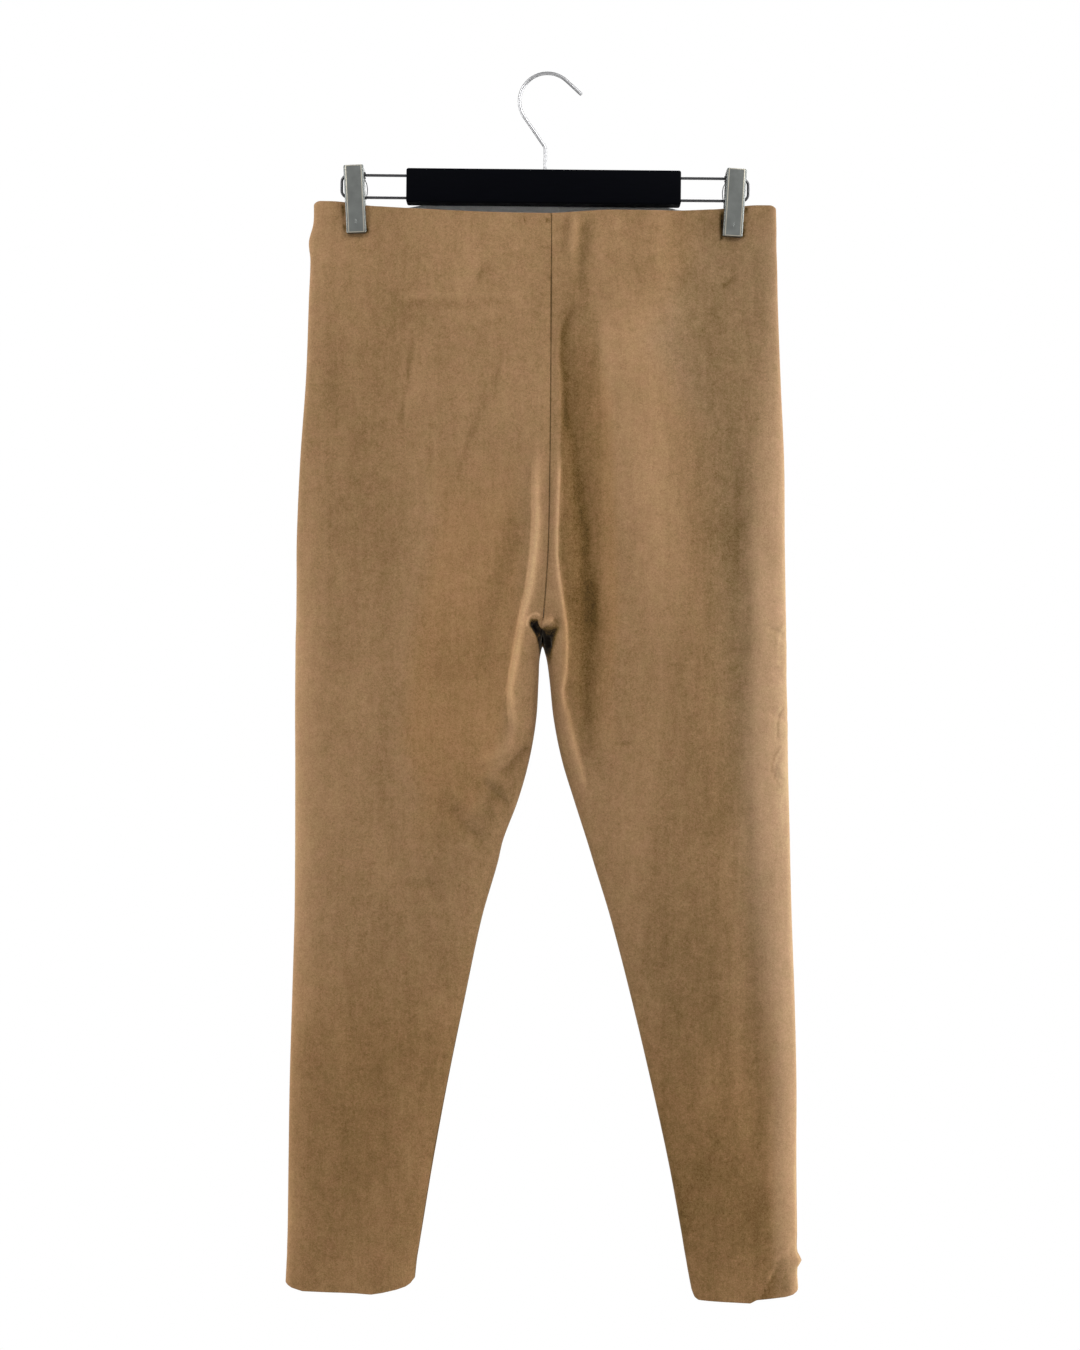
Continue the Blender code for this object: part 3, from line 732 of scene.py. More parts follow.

# Marks of the brushed nap and painted light and shade, lighter above 0 and darker below
FRONT_MARKS = (
    # painted highlights and shade on the lumpy outseam of the right thigh
    Stroke(((214.9, -481.1), (210.1, -489.9), (208.5, -500.5), (209.1, -519.8)), 1.1, 1.8, 0.22,
        3.5),
    Stroke(((215.2, -553.2), (210.8, -560.3), (208.3, -570.9), (210.2, -584.1)), 1.1, 1.1, -0.34,
        3.5),
    Stroke(((212.9, -552.4), (208.6, -559.4), (205.9, -571.8), (208, -585)), 1.1, 1.4, 0.22, 3.5),
    Stroke(((212.4, -586.7), (206.8, -595.5), (203.8, -605.2), (206.2, -615.8), (213.7, -625.4)),
        1.1, 1.1, -0.38, 3.5),
    Stroke(((214.7, -587.5), (209.3, -596.4), (206.2, -605.2), (208.6, -614.9), (215, -622.7)),
        1.1, 1.1, 0.28, 3.5),
    Stroke(((215.4, -627.1), (212.5, -638.6), (214.5, -665.9)), 1.1, 1.6, 0.2, 5.3),
    # faint pressed lines of the left front, with painted shade and light beside them
    Stroke(((-114, -229.9), (-118.1, -260.7), (-121.4, -287.1), (-126.4, -318.9)), 1.4, 2.6, -0.13,
        14.1),
    Stroke(((-109.6, -229.8), (-113.7, -260.7), (-117, -287.1), (-122, -318.8)), 1.8, 2.3, 0.06,
        14.1),
    Stroke(((-47.7, -265.3), (-57, -297.1), (-67.3, -330.6), (-75.7, -365.9)), 1.2, 2.1, -0.13,
        14.1),
    Stroke(((-36.5, -235.3), (-38.9, -259.9), (-43, -292.5)), 1.6, 2.6, -0.12, 10.6),
    Stroke(((-97.5, -304.5), (-98.8, -348.5)), 1.6, 2.3, -0.07, 10.6),
    Stroke(((-61.7, -181), (-52.9, -175.6), (-45.1, -170.2)), 4, 5.3, -0.16, 4.4),
    Stroke(((-134.6, -199.3), (-100.2, -198), (-56.3, -195.9), (-9.6, -194.5)), 1.4, 1.8, 0.08,
        14.1),
    Stroke(((-126.6, -204.5), (-82.6, -205.8), (-21, -203.4)), 2.6, 3.1, -0.06, 14.1),
    Stroke(((-78, -218.1), (-38.5, -214.2), (-6.8, -217.4)), 1.4, 2.1, 0.06, 10.6),
    # thin shade beside the clips
    Stroke(((-156.8, -114.1), (-156.2, -141.4)), 0.9, 0.9, -1.1, 3.5),
    Stroke(((-177.4, -114.3), (-175.9, -141.6)), 0.7, 0.7, -0.7, 3.5),
    Stroke(((156.1, -113.7), (155.3, -143.7)), 0.7, 0.9, -0.9, 3.5),
    Stroke(((176.5, -113.5), (175.2, -141.7)), 0.9, 0.7, -1, 3.5),
    # painted highlights on the crests beside the centre seam, and painted shade in the hollows
    # beside them
    Stroke(((-3.7, -330), (-6.1, -358.2), (-4.1, -384.6), (-3.9, -404.8), (-6.4, -422.4),
        (-8, -437.4), (-12.2, -459.5), (-16.4, -479.8), (-19.7, -499.1), (-22.6, -519.4),
        (-25.1, -534.4), (-26.3, -547.6), (-24, -560.8)), 1.6, 2.6, 0.1, 21.1),
    Stroke(((15.9, -331.6), (14.9, -360.6), (13.5, -404.7), (13.7, -424), (15.9, -444.2),
        (19.4, -466.2), (22.4, -483.8), (23.3, -503.1), (22.9, -525.1), (20.5, -541),
        (22.4, -554.2), (25.7, -569.1)), 1.9, 0.9, 0.58, 21.1),
    Stroke(((22.4, -554.2), (25.7, -569.1), (30.2, -589.3), (36.6, -613), (43, -637.6)), 3.5, 2.6,
        0.28, 21.1),
    Stroke(((23.3, -321), (28.8, -347.3), (31.7, -373.7), (37.3, -404.4), (37.5, -430.8),
        (41.3, -452.8), (47.2, -474.7), (45.2, -496.8), (41.9, -518.8), (41.3, -549.6),
        (42.4, -576), (46.3, -606.8)), 8.8, 5.3, -0.12, 35.2),
    Stroke(((32.7, -200.3), (22.2, -212.7), (16.7, -228.6), (15.5, -248), (19.3, -269.9),
        (19.9, -294.6), (21.6, -325.4)), 2.6, 3.5, -0.18, 17.6),
    Stroke(((-21.3, -356.6), (-21.8, -391.8), (-26.8, -427), (-35.3, -453.5), (-42.1, -480),
        (-45.4, -506.4), (-43.3, -541.6), (-40.4, -559.2)), 11.4, 6.2, -0.06, 44),
    # small dark marks at the top of the seam and along the waist
    Stroke(((4.6, -179.4), (5.1, -183.8)), 1.1, 1.1, -0.25, 1.3),
    Stroke(((0.2, -121.4), (5.5, -121.3)), 0.7, 0.7, -0.4, 1.3),
    Stroke(((-18.3, -121.2), (-17, -121.2)), 0.9, 0.9, -0.5, 0.9),
    # painted light and shade on the waist pleats beside the seam, and on a fold of the left front
    Stroke(((19.5, -114.2), (19.8, -137.9), (17.3, -158.2)), 2.6, 2.6, -0.08, 10.6),
    Stroke(((25.7, -114.1), (25.5, -144.9), (22.6, -164.3)), 3.5, 4.4, 0.08, 14.1),
    Stroke(((36.7, -114), (36.5, -140.4), (31.4, -164.2), (29.1, -197.7)), 5.3, 5.3, -0.1, 17.6),
    Stroke(((46.8, -113.9), (48.9, -153.5), (51, -188.7)), 5.3, 6.2, 0.08, 26.4),
    Stroke(((61.8, -113.8), (63.8, -140.1)), 6.2, 6.2, 0.08, 14.1),
    Stroke(((-34.2, -199.2), (-21, -197.3)), 6.2, 6.2, 0.08, 8.8),
    # painted light on the broad fold of the left front and painted shade on the right leg's hollow
    Stroke(((-96.7, -286.9), (-97.8, -357.3), (-94.5, -427.7)), 12.3, 12.3, 0.06, 44),
    Stroke(((170.1, -398.8), (176.5, -425.1), (182.1, -460.2)), 8.8, 8.8, -0.05, 26.4),
    # painted light and shade on the crumple of the left thigh
    Stroke(((-22.7, -579.3), (-28.3, -590.8), (-41.8, -599.7), (-56.7, -606)), 4.4, 5.3, 0.09,
        10.6),
    Stroke(((-7.6, -587), (-17.2, -596.8), (-26.8, -608.3), (-36.4, -615.5)), 1.8, 7.9, -0.12,
        5.3),
    Stroke(((-15.4, -604.7), (-24, -620.6), (-34.4, -635.7)), 7.9, 7.9, -0.06, 8.8),
    Stroke(((-54.8, -618.3), (-48.6, -622.6), (-38.9, -631.3), (-29.1, -640.9)), 4.4, 4.4, -0.06,
        7),
    Stroke(((-76.6, -638.7), (-73, -651), (-64.1, -662.4), (-50.8, -672.8), (-42.8, -678)), 4.4,
        4.4, -0.04, 8.8),
    Stroke(((-100.7, -705), (-87.4, -715.4)), 2.6, 2.6, -0.06, 4.4),
    Stroke(((-78.9, -590.4), (-74.3, -607.9), (-71.5, -625.5)), 14.1, 14.1, 0.04, 14.1),
    # painted highlight and shade on the turned corner of the right hem
    Stroke(((227.1, -1021.3), (212.4, -1042.6), (201.1, -1060.3)), 3.5, 1.8, 0.12, 7),
    Stroke(((228.2, -1042.4), (221.3, -1058.3), (216.2, -1076)), 7.9, 7, -0.08, 10.6),
    # a smudge of the nap, and the faint pressed lines of the left front with painted light and
    # shade beside them
    Stroke(((-60, -179), (-53, -181)), 6, 6, -0.12, 5),
    Stroke(((-132, -197), (-100, -196), (-70, -196.5)), 2.2, 2.2, 0.1, 14),
    Stroke(((-120, -201.5), (-80, -201)), 2.4, 2.4, -0.07, 14),
    Stroke(((-62, -207.5), (-46, -208), (-31, -209.5)), 2.2, 2.2, 0.1, 8),
    Stroke(((-114, -232), (-119, -270), (-125.5, -316)), 2, 2, -0.1, 16),
    Stroke(((-36, -250), (-50, -290), (-66, -330)), 2, 2, -0.1, 18),
    Stroke(((-130, -213), (-112, -216)), 8, 8, -0.08, 8),
    # painted shade in the pinched mark at the right, in creases of the legs and along the right
    # leg's hollow, and painted light on the shins
    Stroke(((153, -187.5), (163, -182), (171, -174)), 1.8, 2.4, -0.33, 6),
    Stroke(((-126, -709), (-80, -719)), 4, 4, -0.08, 12),
    Stroke(((60, -587.5), (84, -587)), 1.8, 1.8, -0.14, 8),
    Stroke(((168, -340), (174, -425), (176, -530), (180, -700), (192, -860), (204, -990)), 22, 10,
        -0.08, 80),
    Stroke(((-176, -826), (-171, -905)), 6, 7, 0.06, 24),
    Stroke(((147, -845), (150, -915)), 6, 7, 0.06, 24),
    # painted highlights on the rim of the crotch's curled hole and on the lip
    Stroke(((-11.9, -486.7), (-12, -481.9), (-10.8, -477.9), (-7.8, -475.3), (-3.4, -474.3),
        (-0.2, -476.6)), 1, 1.1, 0.62, 1.8),
    Stroke(((0.2, -481.4), (3.7, -483.1), (8.1, -482.5), (11.6, -478.6)), 4.4, 2.6, 0.13, 2.6),
)

# Painted highlights on the back's crests and swells, and painted shade in its folds and towards
# the lower legs
BACK_MARKS = (
    Stroke(((-6, -318), (-8, -380), (-13, -430), (-19, -468), (-25, -505), (-28, -540),
        (-27, -566), (-38, -598)), 1.4, 4, 0.3, 40),
    Stroke(((9, -348), (10, -400), (15, -446), (20, -480), (23, -512), (25, -545), (34, -592)),
        3.6, 1.2, 0.3, 40),
    Stroke(((-24, -280), (-29, -390), (-38, -470), (-42, -530)), 16, 3, -0.12, 60),
    Stroke(((34, -482), (66, -506), (102, -522), (130, -526)), 7, 2, -0.07, 34),
    Stroke(((38, -476), (70, -500), (104, -515)), 3, 6, 0.05, 26),
    Stroke(((-52, -522), (-84, -540), (-118, -548)), 2, 7, -0.07, 30),
    Stroke(((-104, -150), (-96, -230), (-90, -310)), 8, 16, 0.05, 50),
    Stroke(((84, -140), (92, -230), (98, -320)), 16, 8, 0.05, 50),
    Stroke(((-58, -638), (-84, -662), (-118, -670)), 3, 8, -0.08, 16),
    Stroke(((74, -670), (100, -688), (132, -686)), 8, 4, -0.08, 16),
    Stroke(((-200, -800), (-60, -800)), 260, 1, -0.04, 60),
    Stroke(((60, -1000), (220, -1000)), 120, 140, -0.1, 40),
)

FRONT_PATCHES = (
    # painted light on the fold of the right side
    Patch(((-312.4, 184.2, 217.7, 0), (-356.4, 184.6, 218.1, 0.1), (-462, 185.7, 220.9, 0.11),
        (-550, 185.6, 223.5, 0.14), (-620.4, 187.2, 224.1, 0.17), (-690.8, 189.6, 226.6, 0.12),
        (-796.4, 193.3, 231.1, 0.09), (-884.4, 198.5, 232, 0)), 7, 0.9),
    Patch(((-393.4, 171.8, 195.6, 0), (-423.3, 173, 197.6, 0.13), (-453.2, 173.3, 198.8, 0.13),
        (-481.4, 175.3, 199.9, 0.09), (-516.6, 176.5, 207.3, 0.1), (-550, 176.8, 216.4, 0.13),
        (-602.8, 178.2, 218.7, 0.15), (-657.4, 177.9, 213.9, 0.14), (-726, 171.5, 214.6, 0.13),
        (-780.6, 169.4, 215.1, 0.11), (-866.8, 171.1, 223, 0.12), (-954.8, 176.3, 232.6, 0.08),
        (-990, 178.4, 233, 0)), 6.2, 7),
    # painted light and shade on folds by the waist and at the edge of the dark hollow
    Patch(((-117, 58.3, 68, 0), (-124.1, 58.3, 68, 0.06), (-141.7, 58.5, 68.2, 0.06),
        (-159.3, 57.8, 66.6, 0)), 3.5, 3.5),
    Patch(((-183.9, 26.4, 39.6, 0), (-192.7, 24.7, 39.6, -0.11), (-201.5, 23.9, 38.8, -0.1),
        (-213.8, 23.1, 40.7, 0)), 2.6, 2.6),
    Patch(((-208.6, 50.3, 57.4, 0), (-217.4, 49.6, 57.5, 0.07), (-237.6, 48.9, 57.7, 0.06),
        (-259.6, 50, 57, 0)), 2.6, 3.5),
    Patch(((-233.2, 33.9, 47.9, 0), (-255.2, 35, 48.7, -0.07), (-286, 36.1, 50.2, -0.1),
        (-314.2, 38.2, 51, -0.08), (-347.6, 40.2, 50.8, 0)), 4.4, 1.8),
    # painted highlight along the left crest
    Patch(((-312.4, -7.2, -1.5, 0), (-347.6, -9, -1.1, 0.1), (-374, -9.7, -2.2, 0.33),
        (-387.2, -9.1, -1.6, 0.44), (-404.8, -9.8, -2.3, 0.5), (-426.8, -10.9, -3, 0.54),
        (-453.2, -14.6, -6.3, 0.48), (-475.2, -19.3, -12.2, 0.52), (-497.2, -23.4, -16, 0.52),
        (-519.2, -26.7, -19.7, 0.54), (-541.2, -29.6, -23.5, 0.52), (-560.6, -28.6, -22, 0.38),
        (-576.4, -26.6, -20.9, 0.2), (-589.6, -32.2, -23.4, 0)), 1.2, 5.3),
    # painted shade in the hollow right of the centre, between its crisp and its soft edge
    Patch(((-123.2, 20.5, 39.8, 0), (-164.6, 20.9, 40.2, -0.04), (-198, 19.4, 42.3, -0.07),
        (-215.6, 16.1, 44.3, -0.09), (-250.8, 14.5, 48.1, -0.09), (-286, 15.9, 52, -0.11),
        (-321.2, 15.8, 54.1, -0.14), (-360.8, 15.3, 52.7, -0.14), (-404.8, 13.7, 51.4, -0.14),
        (-424.2, 14.1, 51.5, -0.13), (-444.4, 16.5, 54.4, -0.13), (-466.4, 19.8, 56.3, -0.13),
        (-484, 22.4, 56.5, -0.14), (-503.4, 23.8, 54.9, -0.14), (-525.4, 23.5, 52.5, -0.12),
        (-541.2, 21.9, 50, -0.11), (-554.4, 23.3, 50.1, -0.1), (-569.4, 26.5, 51.2, -0.08),
        (-589.6, 32, 54, -0.05), (-629.2, 43.8, 58.8, 0)), 1.6, 7.9),
    Patch(((-281.6, 15.7, 23.8, 0), (-303.6, 15.7, 26.6, -0.09), (-321.2, 15.8, 29.4, -0.12),
        (-374, 15, 37, -0.12), (-426.8, 14.4, 44.5, -0.16), (-453.2, 18.6, 48.3, -0.16),
        (-475.2, 22.3, 48.5, -0.15), (-497.2, 24.3, 43.4, -0.11), (-519.2, 23.9, 41.9, -0.12),
        (-541.2, 21.9, 35.1, -0.06), (-563.2, 25.2, 37, 0)), 1.6, 8.8),
    # painted light on the strips beside the centre seam
    Patch(((-321.2, -4.9, 6.6, 0), (-356.4, -5.4, 6.4, 0.06), (-426.8, -6.5, 4.9, 0.08),
        (-462, -12.3, 1.7, 0.06), (-484, -15.6, -0.7, 0)), 3.5, 1.8),
    Patch(((-114.4, 6.3, 13.4, 0.02), (-198, 7.1, 15, 0.03), (-321.2, 7.4, 15.4, 0.03),
        (-426.8, 5.8, 14.6, 0.06), (-462, 3.5, 16.7, 0.08), (-481.4, 12.5, 19.5, 0.05),
        (-497.2, 15.3, 20.6, 0.06), (-550, 14, 20.2, 0.07), (-589.6, 19.7, 27.6, 0.06),
        (-629.2, 31.5, 40.3, 0)), 1.8, 2.6),
    # painted light and shade over broad parts of the fronts, darkest on the lower legs and in the
    # turned corner of the right hem
    Patch(((-154, 48.9, 92.9, 0), (-198, 52, 105.7, 0.05), (-286, 55.5, 113.6, 0.05),
        (-347.6, 61.4, 114.2, 0.05), (-409.2, 69, 111.2, 0.03), (-462, 73.9, 104.7, 0)), 7, 21.1),
    Patch(((-110, 104.8, 199.9, -0.13), (-198, 116.2, 197.2, -0.17), (-303.6, 133.1, 191.2, -0.16),
        (-374, 130.3, 176, -0.13), (-462, 125.8, 185.7, -0.13), (-550, 109.1, 183, -0.09),
        (-682, 98, 161.4, -0.14), (-778.8, 98.9, 155.3, -0.12), (-866.8, 115.6, 168.4, -0.05),
        (-1025.2, 136.5, 180.5, 0)), 17.6, 12.3),
    Patch(((-184.8, 59.8, 93.2, 0), (-224.4, 49.6, 102.4, 0.07), (-391.6, 67.1, 107.5, 0.07),
        (-435.6, 73.6, 104.4, 0)), 8.8, 12.3),
    Patch(((-171.6, 6.9, 22.7, 0), (-215.6, 7.3, 23.1, -0.08), (-308, 9.9, 20.5, -0.08),
        (-330, 11.9, 19, 0)), 1.8, 7),
    Patch(((-431.2, 25.2, 51.6, 0), (-453.2, 23.7, 50.9, -0.09), (-475.2, 27.4, 52, -0.09),
        (-501.6, 30.3, 43.5, 0)), 4.4, 4.4),
    Patch(((-580.8, -118.6, -79, 0), (-598.4, -114, -70, -0.07), (-638, -104.8, -37, -0.07),
        (-690.8, -86.7, -44.5, -0.08), (-730.4, -95.1, -54.6, 0)), 14.1, 10.6),
    Patch(((-609.8, -34.7, -20.6, 0), (-624.8, -41.6, -18.7, -0.11), (-638, -46.7, -22.1, -0.12),
        (-651.2, -51.9, -27.2, -0.06), (-677.6, -51.6, -34, 0)), 7, 3.5),
    Patch(((-796.4, -203.6, -129.7, 0), (-866.8, -208.2, -129, -0.09),
        (-963.6, -202, -122.8, -0.05), (-1016.4, -198, -127.6, 0)), 10.6, 12.3),
    Patch(((-180.4, -204.2, -181.4, 0), (-224.4, -203.8, -179.2, -0.08),
        (-321.2, -208.2, -180, -0.07), (-347.6, -207.9, -186.8, 0)), 1.8, 12.3),
    Patch(((-1031.4, 215.8, 221.9, 0), (-1039.3, 214.1, 222, -0.16), (-1046.3, 210.6, 221.2, -0.2),
        (-1056.9, 206.3, 222.2, -0.25), (-1069.2, 200.3, 224.9, -0.25),
        (-1078, 197.7, 225.9, -0.2)), 0.9, 3.5),
    Patch(((-114.4, -105.4, -21.8, 0.03), (-154, -105.1, -25.9, 0.05),
        (-206.8, -100.1, -13.9, 0.04), (-242, -91, -20.6, 0)), 17.6, 14.1),
    Patch(((-145.2, -195.8, -128.9, 0), (-198, -192.6, -126.6, -0.1), (-330, -190.5, -125.4, -0.1),
        (-462, -185.7, -125.9, -0.08), (-550, -184.9, -130.3, 0)), 7, 21.1),
    Patch(((-602.8, -96.3, -17.1, 0), (-638, -87.2, -34.4, -0.04), (-690.8, -121.9, -51.5, 0)),
        17.6, 17.6),
    Patch(((-690.8, -227.5, -16.3, 0), (-778.8, -226.7, -50.7, -0.05),
        (-849.2, -226, -58.8, -0.11), (-1016.4, -224.4, -83.6, -0.12),
        (-1078, -223.8, -83, -0.07)), 8.8, 26.4),
    Patch(((-682, 18.8, 205.4, 0), (-778.8, 37.3, 201, -0.08), (-858, 55.7, 200, -0.11),
        (-910.8, 56.2, 202.3, -0.17), (-954.8, 56.6, 204.5, -0.31), (-1007.6, 57.1, 206.7, -0.32),
        (-1044.6, 57.5, 212.4, -0.21), (-1086.8, 57.9, 212.8, -0.14)), 8.8, 14.1),
    # the deep shade of the crotch: the curled hole and the dark under the lip
    Patch(((-478.4, -7.3, -4.3, 0), (-480.1, -9, -2.5, -0.8), (-482.7, -9.9, -2.3, -1),
        (-485.3, -9.5, -1, -1), (-487.5, -7.9, 0.7, -1), (-490.2, -6.1, 2.9, -1),
        (-492.8, -4.7, 4.2, -1), (-497.2, -3, 3.8, -1), (-502.5, -1.7, 2.1, -1),
        (-508.6, -0.8, 1.3, -0.7), (-518.3, 0.9, 1.4, 0)), 2.3, 1.2),
    Patch(((-470.8, 12.4, 16.8, 0), (-476.1, 12.4, 17.7, -0.14), (-479.6, 11.1, 17.4, -0.32),
        (-483.1, 9, 16.9, -0.4), (-485.2, 4.6, 16.4, -0.42), (-487, 2, 15.9, -0.66),
        (-489.3, 0.2, 14.9, -0.95), (-492.8, -0.2, 13.1, -1), (-497.2, 0.3, 12.1, -1),
        (-502.5, 1.7, 10.8, -1), (-507.8, 3.9, 9.7, -1), (-513, 6.1, 9.3, -0.7),
        (-521.8, 7.6, 9, 0)), 1.2, 5.3),
)

# Where the nap is more golden, above 0, or greyer, below 0
FRONT_HUES = (
    # the left thigh
    Patch(((-321.2, -103.4, -19.8, 0), (-391.6, -89.6, -19.2, 0.7), (-497.2, -110.6, -16.4, 0.95),
        (-585.2, -118.5, -34.9, 1), (-638, -100.4, -52, 0.8), (-690.8, -121.9, -77.9, 0)), 22.9,
        17.6),
    # the deep hollow and the crests beside it
    Patch(((-224.4, 14.4, 40.8, 0.2), (-286, 15, 59, 0.7), (-479.6, 18.6, 67.9, 1),
        (-550, 19.3, 61.5, 0.6), (-602.8, 31.3, 70.9, 0)), 7, 10.6),
    # the lower legs
    Patch(((-752.4, -235.7, -33.3, 0), (-849.2, -234.8, -32.4, 0.75),
        (-1078, -232.6, -100.6, 0.8)), 0.9, 0.9),
    Patch(((-796.4, 55.1, 209.1, 0), (-902, 91.3, 207.5, 0.8), (-1078, 110.6, 209.2, 0.9)), 10.6,
        10.6),
    # the right side
    Patch(((-110, 127.7, 259.7, -0.4), (-162.8, 128.2, 260.2, -1.2), (-233.2, 93.7, 260.9, -1.1),
        (-312.4, 138.5, 261.7, -1), (-726, 182, 265.6, -1.2), (-814, 196.1, 266.5, -0.9),
        (-1078, 212.7, 269, -0.2)), 44, 0.9),
)

# How light the painted highlight on each outer fold is: depths below the origin, and tones.
LEFT_RIM = ((145, 242, 330, 418, 506, 594, 682, 770, 858, 946, 1034),
            (0.22, 0.08, 0.02, 0.12, 0.42, 0.38, 0.60, 0.36, 0.22, 0.18, 0.22))
RIGHT_RIM = ((145, 242, 330, 1050), (0.08, 0.10, 0.40, 0.42))

# Uneven fields of the creases and of the nap: strength, size of a swell, number
SWELLS = ((0.9, (70, 150), 11), (0.45, (34, 90), 12), (0.16, (13, 22), 13))
BRUSHING = ((0.055, (24, 60), 21), (0.035, (9, 34), 22), (0.02, (14, 7), 23))


@dataclass
class Ring:
    """Points round one leg and its half of the torso, with what creases and marks read there."""

    points: Array
    x: Array
    level: Array
    front: Array                  # True on the front side
    outer_gap: Array              # distance from the outer fold
    inner_gap: Array              # distance from the inner edge
    pinch: Array                  # 1 where the jaws hold the cloth
    torso: Array                  # 1 on the torso, 0 on the legs
    form: Array                   # share of the section's full depth


@dataclass
class HangingForm:
    """The form in which the garment hangs: the CAD solids' own sections and edges."""

    wall: float = 1.4
    flat_half: float = 1.55       # from the middle plane to the outside of flat cloth
    half_gap: float = 0.15
    edge_exponent: float = 2.4
    waist_z: float = -113.0
    crotch_z: float = -500.0
    crotch_top_z: float = -466.0
    valley_width: float = 16.0
    valley_reach_z: float = -760.0
    rounding_ease: float = 260.0
    waist_step: float = 4.1
    waist_span: float = 145.0
    waist_dip: float = 5.5
    waist_under_bar: float = 2.0  # dip of the front's edge where it meets the bar, at the right
    under_bar_x: float = 62.0     # from here it meets the bar
    waist_lift: float = 1.9
    waist_ease: float = 55.0
    closed_z: float = -498.0      # down to here the inner thighs touch each other
    crotch_press: float = 1.5
    crotch_width: float = 26.0    # of the cloth that is pressed, on each side
    behind_bar: float = 12.5      # how far back the back's edge stands where it is behind the bar
    behind_half: float = 118.0    # half the length of that part
    behind_ease: float = 16.0
    behind_height: float = 48.0
    behind_rise: float = 6.0      # how far the back's edge rises there
    rise_half: float = 85.0
    rise_ease: float = 50.0
    rise_height: float = 30.0
    corner_reach: float = 6.0
    corner_drop: float = 3.0
    hem_ease: float = 70.0
    clip_x: float = 166.6
    pinch_flat: float = 13.0
    pinch_reach: float = 62.0
    pinch_low_z: float = -146.0
    pinch_end_z: float = -270.0
    # how far each raw hem rises: distance from the leg's inner edge, rise
    hems: dict[Hand, tuple[Place, ...]] = field(default_factory=lambda: {
        Hand.LEFT: ((0, 17), (1.8, 15.6), (3.5, 13.4), (7.9, 10.8), (15.8, 8.4), (28, 5.8),
                    (37.8, 4.4), (51, 5.5), (66, 5.9), (98.6, 6.2), (108, 8.6), (111.5, 10.5),
                    (114, 12.5)),
        Hand.RIGHT: ((0, 9), (1.2, 6), (2.4, 3.6), (5.5, 1.6), (12, 1.4), (35, 0.7), (51, 0),
                     (56.5, 3), (67.8, 4), (82.7, 5.3), (89, 6.8), (92.5, 9), (94.4, 11))})
    # level sections: z, left outer, left inner, right inner, right outer, front, back
    sections: tuple[tuple[float, ...], ...] = (
        (-113, -203.3, 5.8, 5.8, 203.6, 7.0, 9.6), (-131, -203.6, 6.0, 6.0, 204.2, 8.5, 11.0),
        (-148, -207.4, 6.2, 6.2, 204.3, 10.5, 12.5), (-165, -205.9, 6.2, 6.2, 205.0, 12.0, 14.5),
        (-200, -206.8, 6.3, 6.3, 205.9, 15.0, 19.0), (-268, -208.6, 6.6, 6.6, 209.0, 18.0, 25.0),
        (-340, -213.0, 6.6, 6.6, 212.8, 19.0, 29.0), (-410, -215.4, 6.0, 6.0, 214.0, 19.0, 29.0),
        (-450, -215.2, 4.2, 4.2, 215.0, 19.0, 26.0), (-480, -215.2, 2.0, 2.0, 215.8, 18.0, 22.5),
        (-500, -215.6, 1.7, 1.7, 216.4, 17.5, 20.5), (-515, -215.6, -0.6, 5.4, 216.5, 17.0, 20.0),
        (-532, -215.6, -1.2, 7.9, 216.7, 17.0, 20.0),
        (-567, -215.4, -3.0, 12.0, 218.0, 17.0, 20.0),
        (-603, -214.9, -8.8, 19.6, 218.6, 17.0, 20.0),
        (-638, -214.6, -18.2, 30.6, 219.8, 16.5, 19.0),
        (-673, -214.3, -31.0, 42.2, 221.0, 16.0, 18.0),
        (-694, -214.2, -35.8, 48.8, 221.6, 15.8, 17.6),
        (-743, -214.2, -49.4, 64.2, 223.4, 15.0, 16.5),
        (-814, -215.6, -63.8, 83.2, 226.6, 14.0, 15.0),
        (-884, -217.0, -77.4, 100.4, 228.8, 13.0, 14.0),
        (-955, -217.4, -89.8, 116.6, 229.4, 12.0, 13.0),
        (-1016, -217.6, -99.2, 128.4, 230.6, 11.5, 12.0),
        (-1034, -217.9, -101.6, 131.3, 230.9, 11.2, 12.0),
        (-1043.5, -218.0, -102.8, 132.9, 234.8, 11.0, 12.0),
        (-1052, -218.3, -103.6, 134.2, 231.4, 11.0, 12.0),
        (-1076, -219.0, -105.0, 138.0, 232.0, 11.0, 12.0),
    )

    def rows(self, level: Array) -> Array:
        """Return the sections at some levels, on smooth curves through the table.

        Args:
            level: Levels, in one row of an array.

        Returns:
            An array with a row for each level and the table's columns after the first.
        """
        table = np.array(self.sections)
        z, values = table[:, 0], table[:, 1:]
        slopes = np.zeros_like(values)
        slopes[1:-1] = (values[2:] - values[:-2]) / (z[2:] - z[:-2])[:, None]
        slopes[0] = (values[1] - values[0]) / (z[1] - z[0])
        slopes[-1] = (values[-1] - values[-2]) / (z[-1] - z[-2])
        held = np.clip(level, z[-1], z[0])
        low = np.clip(np.searchsorted(-z, -held, side="right") - 1, 0, len(z) - 2)
        span = (z[low + 1] - z[low])[:, None]
        t = (held[:, None] - z[low][:, None]) / span
        return ((2 * t**3 - 3 * t**2 + 1) * values[low]
                + (t**3 - 2 * t**2 + t) * slopes[low] * span
                + (3 * t**2 - 2 * t**3) * values[low + 1]
                + (t**3 - t**2) * slopes[low + 1] * span)

    def torso_share(self, level: Array) -> Array:
        """Return 1 on the torso and 0 on the legs, with the crotch's rounding between."""
        turned = np.clip((self.crotch_top_z - level) / (self.crotch_top_z - self.crotch_z), 0, 1)
        return np.sqrt(1.0 - turned ** 2)

